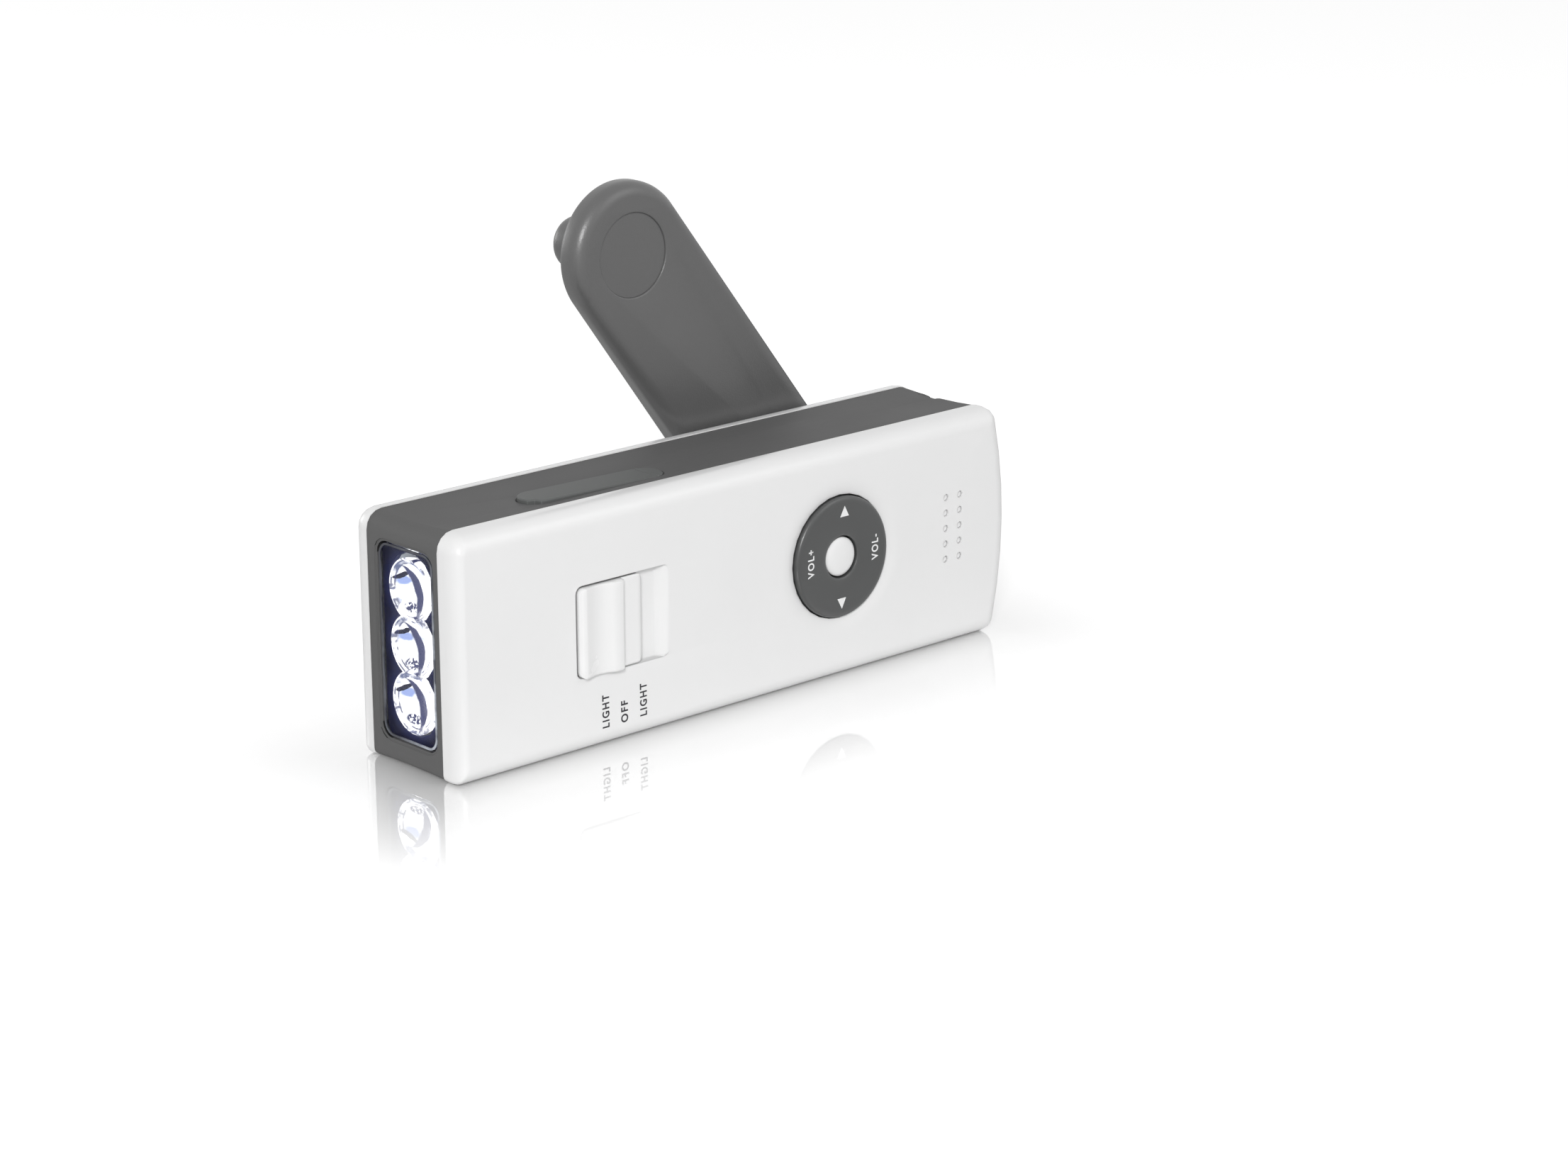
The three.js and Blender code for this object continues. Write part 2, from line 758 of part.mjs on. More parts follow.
function modePocket() {
  const floor = modeSurface() + modePocketDepth;
  const x = around(modePocketMiddle, modePocketLength);
  const plan = roundedRectangle(x, [-overrun, floor], leastRadius);
  const pocket = prism(plan, "y", modePocketY - modePocketWidth / 2, modePocketY + modePocketWidth / 2)
    .subtract(box([x[0] - overrun, x[0]], [0, overrun], [0, overrun]));
  const slot = box(
    around(modePocketMiddle, modeStemLength + 2 * (modeTravel + fit)),
    around(modePocketY, modeStemWidth + 2 * fit),
    [floor - overrun, floor + modePocketFloor + overrun],
  );
  return pocket.add(slot);
}

// Two small pry slots at the seam with the front cover
function snapSlots() {
  return around(modePocketMiddle, snapSlotSpacing).map((middle) => {
    return box(
      around(middle, snapSlotLength),
      [frameFront - overrun, frameFront + snapSlotWidth],
      [-overrun, frameSetback + snapSlotDepth],
    );
  });
}

// Levels of the rubber cover, up from the pocket's floor
function flapTop() {
  return bodyWidth - waistAt(flapY) + flapProud;
}

function flapBottom() {
  return flapTop() - flapThickness;
}

function pocketFloor() {
  return flapBottom() - fit;
}

function socketFloorUnder() {
  return pocketFloor() - socketFloor;
}

function socketLand() {
  return box(
    [flapStart - socketRim, flapStart + flapLength + socketRim],
    around(flapY, flapWidth + 2 * socketRim),
    [socketFloorUnder(), bodyWidth - frameWall + weld],
  );
}

function flapOutline(margin) {
  const x = [flapStart + margin, flapStart + flapLength - margin];
  const y = around(flapY, flapWidth - 2 * margin);
  return roundedRectangle(x, y, flapWidth / 2 - margin, cornerSteps + 1);
}

function socketPocket() {
  const pocket = prism(flapOutline(0), "z", pocketFloor(), bodyWidth + overrun);
  const holes = [earphoneX, chargeX].map((x) => {
    return upright(x, flapY, socketNoseRadius + fit, socketFloorUnder() - overrun, pocketFloor() + overrun);
  });
  return joined(pocket, ...holes);
}

// A round bar along Z
function upright(x, y, radius, from, to, steps = coarse) {
  return rodAlongZ(x, y, radius, from, to, steps);
}

// Rear end of the frame at the strap bar's height
function strapEnd() {
  const z = bodyWidth - strapGrooveHeight / 2;
  return bodyLength - waistAt(strapY) + endBow * (1 - ((z - midZ) / midZ) ** 2);
}

function strapLand() {
  const inner = strapEnd() - strapGrooveDepth - strapBlockDepth;
  return box(
    [inner, bodyLength - frameWall],
    around(strapY, strapGrooveWidth + 2 * strapBlockWall),
    [bodyWidth - strapGrooveHeight - strapBlockWall, bodyWidth - frameWall + weld],
  );
}

// A groove over the upper rear edge, with a bar left across it to tie the strap to
function strapGroove() {
  const end = strapEnd();
  const y = around(strapY, strapGrooveWidth);
  const low = bodyWidth - strapGrooveHeight;
  const behindBar = end - strapGrooveDepth - strapBlockDepth + strapBlockWall;
  const groove = box([end - strapGrooveDepth, bodyLength + endBow + overrun], y, [low, bodyWidth + overrun]);
  const tunnel = box([behindBar, end - strapBar], y, [low, bodyWidth - strapBarDrop + strapBarHeight / 2]);
  const barTop = bodyWidth - strapBarDrop;
  const bar = box([end - strapBar, bodyLength + endBow + 2 * overrun], y, [barTop - strapBarHeight, barTop]);
  return groove.subtract(bar).add(tunnel).add(strapSoftening(end - strapGrooveDepth, y[1]));
}

// What the rounding of the groove's rear side takes away
function strapSoftening(from, side) {
  const top = bodyWidth - waistAt(strapY);
  const middle = side + strapSoftEdge;
  const outline = [
    ...arc(middle, top - strapSoftEdge, strapSoftEdge, Math.PI, Math.PI / 2, cornerSteps),
    new THREE.Vector2(middle, bodyWidth + overrun),
    new THREE.Vector2(side - overrun, bodyWidth + overrun),
    new THREE.Vector2(side - overrun, top - strapSoftEdge),
  ];
  return prism(outline, "x", from, bodyLength + endBow + overrun);
}

function rearCover() {
  const rounded = Array.from({ length: edgeSteps + 1 }, (_, i) => {
    const angle = ((i / edgeSteps) * Math.PI) / 2;
    const drawn = 1 - Math.cos(angle);
    const lightShare = lightEdgeRadius / frontEdgeRadius;
    return {
      at: rearFace - rearEdgeRadius * (1 - Math.sin(angle)),
      outline: casingOutline(rearEdgeRadius * drawn, rearEdgeRadius * drawn * lightShare),
    };
  });
  const shell = loft([{ at: frameRear, outline: casingOutline(0) }, ...rounded]);
  const cavity = prism(casingOutline(lipInset + lipThickness), "y", frameRear - overrun, rearInside);
  const lipEnd = frameRear - lipReach;
  const lip = coverLip(lipEnd, rearInside).intersect(lipKept([lipEnd, rearInside]));
  const casePosts = caseScrews.map((place) => post(place, casePostRadius, casePostSplit, rearInside + weld));
  const platePosts = plateScrews.map((place) => post(place, platePostRadius, plateTop, rearInside + weld));
  const wellPlace = new THREE.Vector2(wellX, midZ);
  const parts = [
    lip,
    post(crankCentre, hubJournalRadius + fit + hubBossWall, bossEnd, rearInside + weld, medium),
    post(wellPlace, wellRadius + wellWall, wellFloor - wellWall, rearInside + weld, medium),
    post(idlerOneCentre, axleBossRadius, firstLevelTop + fit, rearInside + weld),
    post(idlerTwoCentre, axleBossRadius, secondLevelTop + fit, rearInside + weld),
    ...casePosts,
    ...platePosts,
    ...cellSaddles(),
  ];
  return cut(joined(cut(shell, cavity), ...parts), ...rearCoverCuts(wellPlace));
}

function rearCoverCuts(wellPlace) {
  const headSeat = rearFace - caseHeadSink - caseHeadHeight;
  const caseHoles = caseScrews.flatMap((place) => [
    post(place, caseScrewRadius + pinFit, casePostSplit - overrun, headSeat + overrun),
    post(place, caseHeadRadius + fit, headSeat, rearFace + overrun),
  ]);
  const plateHoles = plateScrews.map((place) => {
    const depth = plateLow + smallScrewLength + threadDepth;
    return post(place, smallScrewRadius + pinFit, plateTop - overrun, depth);
  });
  const axleHoles = [idlerOneCentre, idlerTwoCentre].map((place) => {
    return post(place, idlerAxleRadius + pinFit, plateTop, rearInside);
  });
  const mouth = wellRadius + wellChamfer;
  const well = [[0, wellFloor], [wellRadius, wellFloor], [wellRadius, rearFace - wellChamfer]];
  return [
    post(crankCentre, hubJournalRadius + fit, bossEnd - overrun, rearFace, fine),
    post(crankCentre, hubDiscRadius + fit, discLow - fit, rearFace + overrun, fine),
    turned([...well, [mouth, rearFace], [mouth, rearFace + overrun], [0, rearFace + overrun]], wellPlace, medium),
    ...caseHoles,
    ...plateHoles,
    ...axleHoles,
  ];
}

function cellY() {
  return rearInside - cellLift - cellRadius;
}

// Two ribs of the rear cover that cradle the cells
function cellSaddles() {
  const x = around(cellX, 2 * (cellRadius + saddleWall));
  const stack = 3 * cellHeight;
  return [1, -1].map((side) => {
    const middle = midZ + side * (stack / 2 - cellHeight / 2);
    const rib = box(x, [cellY(), rearInside + weld], around(middle, saddleThickness));
    return cut(rib, rodAlongZ(cellX, cellY(), cellRadius + fit, ...around(middle, cellHeight), medium));
  });
}

function windowLens() {
  return prism(windowOutline(-fit), "x", lensSetback, lensSetback + lensThickness);
}

function lampPlaces() {
  return [-1, 0, 1].map((step) => new THREE.Vector2(windowY, midZ + step * lampPitch));
}

function lightMask() {
  const y = around(windowY, windowHeight + 2 * maskOverlap);
  const z = around(midZ, windowWidth + 2 * maskOverlap);
  const plate = prism(roundedRectangle(y, z, windowCornerRadius), "x", frameWall, frameWall + maskThickness);
  const holes = lampPlaces().map((place) => {
    const hole = circle(place, cupRadius + cupWall + fit, medium);
    return prism(hole, "x", frameWall - overrun, frameWall + maskThickness + overrun);
  });
  return cut(plate, cupWeb(fit, [frameWall - overrun, frameWall + maskThickness + overrun]), ...holes);
}

// The strip that joins the outer cups' centres, which the mask's slot clears
function cupWeb(margin, x) {
  return box(x, around(windowY, cupWebWidth + 2 * margin), around(midZ, 2 * lampPitch));
}

// A profile of (radius, depth) turned about an axis along X at a place in the Y-Z plane
function turnedAlongX(profile, place, from, steps) {
  const points = profile.map(([radius, depth]) => new THREE.Vector2(radius, -depth)).reverse();
  const geometry = new THREE.LatheGeometry(points, steps);
  geometry.rotateZ(Math.PI / 2);
  geometry.translate(from, place.x, place.y);
  return solidOf(geometry);
}

// Three paraboloid cups run into each other at their rims
function reflector() {
  const bowl = (extra) =>
    Array.from({ length: bowlSteps + 1 }, (_, i) => {
      const depth = (cupDepth * i) / bowlSteps;
      return [cupRadius * Math.sqrt(1 - depth / cupFocusDepth) + extra, depth];
    });
  const shells = lampPlaces().map((place) => {
    return turnedAlongX([[0, 0], ...bowl(cupWall), [0, cupDepth]], place, frameWall, medium);
  });
  const bowls = lampPlaces().map((place) => {
    const inner = bowl(0);
    const open = [[0, -overrun], [cupRadius, -overrun], ...inner.slice(0, -1)];
    const floor = cupDepth - cupFloor;
    return turnedAlongX([...open, [inner[bowlSteps][0], floor], [0, floor]], place, frameWall, medium);
  });
  const holes = lampPlaces().map((place) => {
    const hole = circle(place, ledRadius + fit, coarse);
    return prism(hole, "x", frameWall, frameWall + cupDepth + overrun);
  });
  const web = cupWeb(0, [frameWall, frameWall + cupFloor]);
  return cut(joined(web, ...shells), ...bowls, ...holes);
}

function led(place) {
  const base = lampBoardFront();
  const dome = Array.from({ length: bowlSteps + 1 }, (_, i) => {
    const angle = ((i / bowlSteps) * Math.PI) / 2;
    return [ledRadius * Math.sin(angle), ledRadius * (1 - Math.cos(angle))];
  });
  const rest = [
    [ledRadius, ledLength - ledFlange],
    [ledFlangeRadius, ledLength - ledFlange],
    [ledFlangeRadius, ledLength],
    [0, ledLength],
  ];
  return turnedAlongX([...dome, ...rest], place, base - ledLength, medium);
}

function lampBoard() {
  const z = [frameWall + maskMargin(), bodyWidth - frameWall - maskMargin()];
  return box(
    [lampBoardFront(), lampBoardFront() + lampBoardThickness],
    around(windowY, windowHeight - 2 * fit),
    z,
  );
}

function mainBoard() {
  const plate = box([boardStart, boardEnd], [boardFront, boardRear], [boardLow, boardHigh]);
  const holes = [...boardScrews, ...boardPegs].map((place) => {
    return post(place, smallScrewRadius + pinFit, boardFront - overrun, boardRear + overrun);
  });
  return cut(plate, ...holes);
}

function radioChip() {
  return box(
    around(chipX, chipSize),
    [boardRear, boardRear + chipHeight],
    around(midZ + chipRise, chipSize),
  );
}

function lightSwitchBody() {
  const stem = lightStemMiddle();
  const lever = lightLeverStart();
  const x = [stem - leverLength / 2 - switchBodyWall, stem + leverLength / 2 + lightTravel + switchBodyWall];
  const body = box(x, [lever + fit, boardFront], around(midZ, lightBodyWidth));
  const groove = box(
    [stem - leverLength / 2 - fit, stem + leverLength / 2 + lightTravel + fit],
    [lever, lever + leverReach + fit],
    around(midZ, leverWidth + 2 * fit),
  );
  return cut(body, groove);
}

function lightHookStart() {
  return lightPocketDepth + lightPocketFloor + fit;
}

function lightLeverStart() {
  return lightHookStart() + hookHeight;
}

// Heights of the slider's face along its length, as shares of its length and of its rise
const sliderFaceShares = [
  [0, 0.42],
  [0.025, 0.72],
  [0.07, 0.86],
  [0.115, 0.78],
  [0.2, 0.52],
  [0.3, 0.42],
  [0.4, 0.54],
  [0.47, 0.86],
  [0.52, 0.98],
  [0.59, 1],
  [0.64, 0.9],
  [0.655, 0.7],
  [0.66, 0.08],
  [0.69, 0.02],
  [0.95, 0.02],
  [1, -0.16],
];

function lightSwitchSlider() {
  const start = lightPocketStart + fit;
  const low = lightPocketDepth - fit;
  const face = sliderFaceShares.map(([along, height]) => {
    return new THREE.Vector2(start + lightSliderLength * along, -lightSliderRise * height);
  });
  const profile = [...face, new THREE.Vector2(start + lightSliderLength, low), new THREE.Vector2(start, low)];
  const width = around(midZ, lightPocketWidth - 2 * fit);
  const stem = lightStemMiddle();
  const hook = lightHookStart();
  const lever = lightLeverStart();
  const plan = roundedRectangle([start, start + lightSliderLength], width, lightPocketCorner - fit);
  const grip = prism(profile, "z", ...width).intersect(prism(plan, "y", -2 * lightSliderRise, lightPocketDepth));
  return joined(
    grip,
    box(around(stem, lightStemLength), [low - overrun, lever], around(midZ, lightStemWidth)),
    box(around(stem, lightStemLength), [hook, lever], around(midZ, lightStemWidth + 2 * hookReach)),
    box(around(stem, leverLength), [hook, lever + leverReach], around(midZ, leverWidth)),
  );
}

function modeHookStart() {
  return modeSurface() + modePocketDepth + modePocketFloor + fit;
}

function modeLeverStart() {
  return modeHookStart() + hookHeight;
}

function modeSwitchSlider() {
  const top = modeSurface() - modeSliderProud;
  const low = modeSurface() + modePocketDepth - fit;
  const x = around(modePocketMiddle, modeSliderLength);
  const y = around(modePocketY, modeSliderWidth);
  const hollow = box(
    [x[0] + modeRidge, x[1] - modeRidge],
    [y[0] + modeRidge, y[1] + overrun],
    [top - overrun, top + modeValley],
  );
  const cap = cut(prism(roundedRectangle(x, y, leastRadius, 2), "z", top, low), hollow);
  const stem = modePocketMiddle;
  const hook = modeHookStart();
  const lever = modeLeverStart();
  return joined(
    cap,
    box(around(stem, modeStemLength), around(modePocketY, modeStemWidth), [low - weld, lever]),
    box(around(stem, modeStemLength), around(modePocketY, modeStemWidth + 2 * hookReach), [hook, lever]),
    box(around(stem, leverLength), around(modePocketY, leverWidth), [hook, lever + leverReach]),
  );
}

function modeSwitchBody() {
  const lever = modeLeverStart();
  const half = leverLength / 2 + modeTravel;
  const body = box(
    around(modePocketMiddle, 2 * (half + switchBodyWall)),
    [boardRear, modePocketY + leverWidth / 2 + fit + switchBodyWall],
    [lever + fit, lever + fit + modeBodyHeight],
  );
  const groove = box(
    around(modePocketMiddle, 2 * (half + fit)),
    around(modePocketY, leverWidth + 2 * fit),
    [lever, lever + leverReach + fit],
  );
  return cut(body, groove);
}

// Levels of the pad along Y
function padFlangeTop() {
  return frontInside + padFlangeDrop;
}

function padLow() {
  return padFlangeTop() + padFlangeThickness;
}

function padHole() {
  return buttonRadius + fit;
}

// Face of the pad as shares of the way from its hole to its rim, and of its crown
const padFaceShares = [
  [0, -0.3],
  [0.07, 0.05],
  [0.17, 0.42],
  [0.3, 0.7],
  [0.7, 0.97],
  [0.82, 1],
  [0.94, 0.65],
  [1, -0.3],
];

function tuningPad() {
  const place = new THREE.Vector2(dialX, controlZ);
  const face = padFaceShares.map(([along, height]) => {
    return [THREE.MathUtils.lerp(padHole(), padRadius, along), -padCrown * height];
  });
  const rest = [
    [padRadius, padFlangeTop()],
    [padRadius + padFlange, padFlangeTop()],
    [padRadius + padFlange, padLow()],
    [padHole(), padLow()],
  ];
  const nibs = [0, 1, 2, 3].map((quarter) => {
    const nib = stepped(place, (quarter * Math.PI) / 2, padNibPlace);
    return post(nib, padNibRadius, padLow() - weld, padLow() + padNibLength, coarse);
  });
  return joined(turned(closedProfile([...face, ...rest]), place, fine), ...nibs);
}

function buttonFlangeTop() {
  return padLow() + fit;
}

function centreButton() {
  const place = new THREE.Vector2(dialX, controlZ);
  const dome = Array.from({ length: edgeSteps + 1 }, (_, i) => {
    const angle = ((i / edgeSteps) * Math.PI) / 2;
    return [buttonRadius * Math.sin(angle), buttonCrown * (1 - 2 * Math.cos(angle))];
  });
  const flangeRadius = buttonRadius + buttonFlange;
  const flangeLow = buttonFlangeTop() + buttonFlangeThickness;
  const rest = [
    [buttonRadius, buttonFlangeTop()],
    [flangeRadius, buttonFlangeTop()],
    [flangeRadius, flangeLow],
    [buttonStemRadius, flangeLow],
    [buttonStemRadius, flangeLow + buttonStemLength],
    [0, flangeLow + buttonStemLength],
  ];
  return turned([...dome, ...rest], place, medium);
}

// The rubber ring that the pad rocks on
function padRing() {
  const bore = buttonRadius + buttonFlange + fit;
  const from = padLow() + fit;
  const place = new THREE.Vector2(dialX, controlZ);
  return tube(place, bore, bore + padRingWidth, from, from + padRingHeight, medium);
}

function tactSwitch(place) {
  const bodyTop = boardFront - tactHeight;
  const base = box(around(place.x, tactSize), [bodyTop, boardFront], around(place.y, tactSize));
  return base.add(post(place, plungerRadius, bodyTop - plungerHeight, bodyTop + weld, coarse));
}

function speakerTop() {
  return frontInside + speakerClothThickness + fit;
}

function speaker() {
  const place = new THREE.Vector2(speakerX, controlZ);
  const back = speakerTop() + speakerDepth;
  const shoulder = speakerTop() + speakerDepth / 3;
  const profile = [
    [0, speakerTop() + speakerDepth / 4],
    [speakerRadius * 0.4, speakerTop() + speakerDepth / 4],
    [speakerRadius * 0.85, speakerTop()],
    [speakerRadius, speakerTop()],
    [speakerRadius, shoulder],
    [speakerMagnetRadius, shoulder + speakerDepth / 4],
    [speakerMagnetRadius, back],
    [0, back],
  ];
  return turned(profile, place, medium);
}

function speakerCloth() {
  const place = new THREE.Vector2(speakerX, controlZ);
  return post(place, speakerRadius, frontInside, frontInside + speakerClothThickness, medium);
}

function socketBody(x, bore) {
  const under = socketFloorUnder() - fit;
  const body = box(
    around(x, 2 * socketBodyHalf),
    [boardRear, flapY + socketNoseRadius],
    [under - socketBodyLength, under],
  );
  const nose = upright(x, flapY, socketNoseRadius, under - weld, pocketFloor());
  return cut(body.add(nose), upright(x, flapY, bore, pocketFloor() - boreDepth, pocketFloor() + overrun));
}

function flapHinge() {
  return flapStart + flapLength - flapHingeInset;
}

function flapSlab() {
  return prism(flapOutline(fit), "z", flapBottom(), flapTop());
}

function socketCover() {
  const half = [flapStart - overrun, flapHinge()];
  const side = around(flapY, flapWidth + 2 * overrun);
  const slab = flapSlab().intersect(box(half, side, [flapBottom() - overrun, flapTop() + overrun]));
  const plug = upright(earphoneX, flapY, flapPlugRadius, flapBottom() - flapPlugLength, flapBottom() + weld);
  const place = new THREE.Vector2(flapStart + fit, flapY - flapWidth / 2 + fit);
  const scoop = prism(circle(place, nailRadius, coarse), "z", flapTop() - nailDepth, flapTop() + overrun);
  return cut(slab.add(plug), scoop);
}

function socketCoverAnchor() {
  const half = [flapHinge() + fit, flapStart + flapLength + overrun];
  const side = around(flapY, flapWidth + 2 * overrun);
  return flapSlab().intersect(box(half, side, [flapBottom() - overrun, flapTop() + overrun]));
}

// Pan head screw that points towards the front, its head at the rear
function screw(place, headTop, headRadius, headHeight, radius, length) {
  const seat = headTop - headHeight;
  const profile = [
    [0, seat - length],
    [radius / 2, seat - length],
    [radius, seat - length + radius / 2],
    [radius, seat],
    [headRadius, seat],
    [headRadius, headTop - headHeight / 3],
    [headRadius * 0.8, headTop],
    [0, headTop],
  ];
  return turned(profile, place, coarse);
}

function caseScrew(place) {
  const top = rearFace - caseHeadSink;
  return screw(place, top, caseHeadRadius, caseHeadHeight, caseScrewRadius, caseScrewLength);
}

function boardScrew(place) {
  const top = boardRear + smallHeadHeight;
  return screw(place, top, smallHeadRadius, smallHeadHeight, smallScrewRadius, smallScrewLength);
}

// Screw that points towards the rear and holds the gear plate to the rear cover's posts
function plateScrew(place) {
  const seat = plateLow;
  const tip = seat + smallScrewLength;
  const profile = [
    [0, seat - smallHeadHeight],
    [smallHeadRadius * 0.8, seat - smallHeadHeight],
    [smallHeadRadius, seat - smallHeadHeight / 2],
    [smallHeadRadius, seat],
    [smallScrewRadius, seat],
    [smallScrewRadius, tip - smallScrewRadius / 2],
    [smallScrewRadius / 2, tip],
    [0, tip],
  ];
  return turned(profile, place, coarse);
}

function gearPlate() {
  const z = around(midZ, 2 * plateHalfWidth);
  const outline = roundedRectangle([plateStart, plateEnd], z, plateCorner, bowlSteps);
  const plate = prism(outline, "y", plateLow, plateTop);
  const y = [plateLow - overrun, plateTop + overrun];
  const screwHoles = plateScrews.map((place) => post(place, smallScrewRadius + pinFit, ...y));
  return cut(
    plate,
    post(crankCentre, hubShaftRadius + fit, ...y, medium),
    post(idlerOneCentre, idlerAxleRadius + pinFit, ...y),
    post(idlerTwoCentre, idlerAxleRadius + pinFit, ...y),
    post(rotorCentre, rotorShaftRadius + pinFit, ...y),
    ...screwHoles,
  );
}

// Axle riveted into the plate, with a collar where its gear is to run higher
function idlerAxle(place, collarHeight) {
  const top = rearInside - fit;
  const collarTop = plateTop + collarHeight;
  const collar = [
    [idlerAxleRadius, plateTop],
    [axleCollarRadius, plateTop],
    [axleCollarRadius, collarTop],
    [idlerAxleRadius, collarTop],
  ];
  const profile = [
    [0, plateLow],
    [idlerAxleRadius, plateLow],
    ...(collarHeight > 0 ? collar : []),
    [idlerAxleRadius, top],
    [0, top],
  ];
  return turned(profile, place, coarse);
}

function generatorCase() {
  const open = [
    [0, generatorLow],
    [generatorRadius, generatorLow],
    [generatorRadius, generatorTop],
    [generatorRadius - generatorWall, generatorTop],
    [generatorRadius - generatorWall, generatorLow + generatorWall],
    [0, generatorLow + generatorWall],
  ];
  return turned(open, rotorCentre, medium);
}

function coilLevels() {
  return [generatorLow + generatorWall + fit, generatorTop - 2 * fit];
}

function generatorCoil() {
  return tube(rotorCentre, coilBore, coilRadius, ...coilLevels(), medium);
}

function generatorMagnet() {
  return tube(rotorCentre, rotorShaftRadius + pinFit, magnetRadius, ...coilLevels(), medium);
}

function rotorShaft() {
  const shaft = post(rotorCentre, rotorShaftRadius, generatorLow + generatorWall + fit, thirdLevelTop - weld);
  const phase = thirdMeshAngle + Math.PI + Math.PI / pinionTeeth;
  const teeth = prism(
    gearOutline(rotorCentre, pinionTeeth, fineModule, phase),
    "y",
    thirdLevelTop - gearWidth,
    thirdLevelTop,
  );
  return shaft.add(teeth);
}

// Half the angle that a tooth fills at a radius, from the involute of its base circle
function toothHalfAngle(teeth, module, radius) {
  const pitch = (teeth * module) / 2;
  const base = pitch * Math.cos(pressureAngle);
  const involute = (angle) => Math.tan(angle) - angle;
  const here = Math.acos(Math.min(base / Math.max(radius, base), 1));
  const atPitch = (Math.PI * module) / 4 - backlash / 2;
  return atPitch / pitch + involute(pressureAngle) - involute(here);
}

// Outline of a spur gear whose first tooth points along the phase angle
function gearOutline(centre, teeth, module, phase) {
  const pitch = (teeth * module) / 2;
  const root = pitch - dedendumShare * module;
  const tip = pitch + module;
  const levels = teeth > pinionTeeth ? [root, tip] : [root, pitch, tip];
  const flank = levels.map((radius) => [radius, toothHalfAngle(teeth, module, radius)]);
  const points = [];
  for (let i = 0; i < teeth; i += 1) {
    const middle = phase + (i * 2 * Math.PI) / teeth;
    flank.forEach(([radius, half]) => points.push(stepped(centre, middle - half, radius)));
    [...flank].reverse().forEach(([radius, half]) => points.push(stepped(centre, middle + half, radius)));
  }
  return points;
}

// A small pinion fused on top of a larger wheel
function idlerGear(centre, pinionModule, pinionPhase, wheelPhase, wheelTop) {
  const wheel = gearOutline(centre, idlerTeeth, fineModule, wheelPhase);
  const pinion = gearOutline(centre, pinionTeeth, pinionModule, pinionPhase);
  const pinionTop = wheelTop + levelPitch;
  const body = joined(
    prism(wheel, "y", wheelTop - gearWidth, wheelTop),
    prism(pinion, "y", wheelTop - weld, pinionTop),
  );
  const bore = idlerAxleRadius + pinFit;
  return cut(body, post(centre, bore, wheelTop - gearWidth - overrun, pinionTop + overrun));
}

function firstIdler() {
  const pinionPhase = firstMeshAngle + Math.PI + Math.PI / pinionTeeth;
  return idlerGear(idlerOneCentre, coarseModule, pinionPhase, secondMeshAngle, secondLevelTop);
}

function secondIdler() {
  const pinionPhase = secondMeshAngle + Math.PI + Math.PI / pinionTeeth;
  return idlerGear(idlerTwoCentre, fineModule, pinionPhase, thirdMeshAngle, thirdLevelTop);
}

function batteryCell(index) {
  const from = midZ + (index - 3 / 2) * cellHeight;
  return rodAlongZ(cellX, cellY(), cellRadius, from, from + cellHeight - pinFit, medium);
}

const axis = new THREE.Vector2(0, 0); // the hub's own axis, in the crank's own frame

// The D-shaped section of the hub's shaft, which the crank gear's bore fits round
function shaftFlat(clearance, from, to) {
  const flat = hubShaftRadius - hubShaftFlat + clearance;
  return box([flat, 2 * hubShaftRadius], [from, to], [-2 * hubShaftRadius, 2 * hubShaftRadius]);
}

function crankHub() {
  const clipTop = firstLevelTop - gearWidth - fit;
  const grooveRadius = hubShaftRadius - clipGrooveDepth;
  const profile = [
    [0, plateLow],
    [hubShaftRadius, plateLow],
    [hubShaftRadius, clipTop - clipThickness - pinFit],
    [grooveRadius, clipTop - clipThickness - pinFit],
    [grooveRadius, clipTop + pinFit],
    [hubShaftRadius, clipTop + pinFit],
    [hubShaftRadius, bossEnd],
    [hubJournalRadius, bossEnd],
    [hubJournalRadius, discLow],
    [hubDiscRadius, discLow],
    [hubDiscRadius, discTop - fit],
    [hubDiscRadius - fit, discTop],
    [0, discTop],
  ];
  const lugOutline = [
    new THREE.Vector2(-earRadius, discLow),
    new THREE.Vector2(earRadius, discLow),
    ...arc(0, pinY, earRadius, 0, Math.PI, coarse),
  ];
  const lug = prism(lugOutline, "z", -lugWidth / 2, lugWidth / 2);
  const flat = shaftFlat(0, clipTop + pinFit, bossEnd);
  const pinHole = rodAlongZ(0, pinY, pinRadius + pinFit, -lugWidth, lugWidth, coarse);
  return cut(turned(profile, axis, fine).add(lug), flat, pinHole);
}

function crankGear() {
  const phase = firstMeshAngle - crankAngle;
  const wheel = prism(
    gearOutline(axis, crankTeeth, coarseModule, phase),
    "y",
    firstLevelTop - gearWidth,
    firstLevelTop,
  );
  const y = [firstLevelTop - gearWidth - overrun, firstLevelTop + overrun];
  const bore = cut(post(axis, hubShaftRadius + pinFit, ...y, medium), shaftFlat(pinFit, ...y));
  return cut(wheel, bore);
}

function hubClip() {
  const inner = hubShaftRadius - clipGrooveDepth + pinFit;
  const from = clipOpening / 2;
  const to = Math.PI * 2 - clipOpening / 2;
  const outline = [
    ...arc(0, 0, clipRadius, from, to, medium),
    ...arc(0, 0, inner, to, from, medium),
  ];
  const top = firstLevelTop - gearWidth - fit;
  return prism(outline, "y", top - clipThickness, top);
}

function hingePin() {
  return rodAlongZ(0, pinY, pinRadius, -armWidth / 2 + pinInset, armWidth / 2 - pinInset, coarse);
}

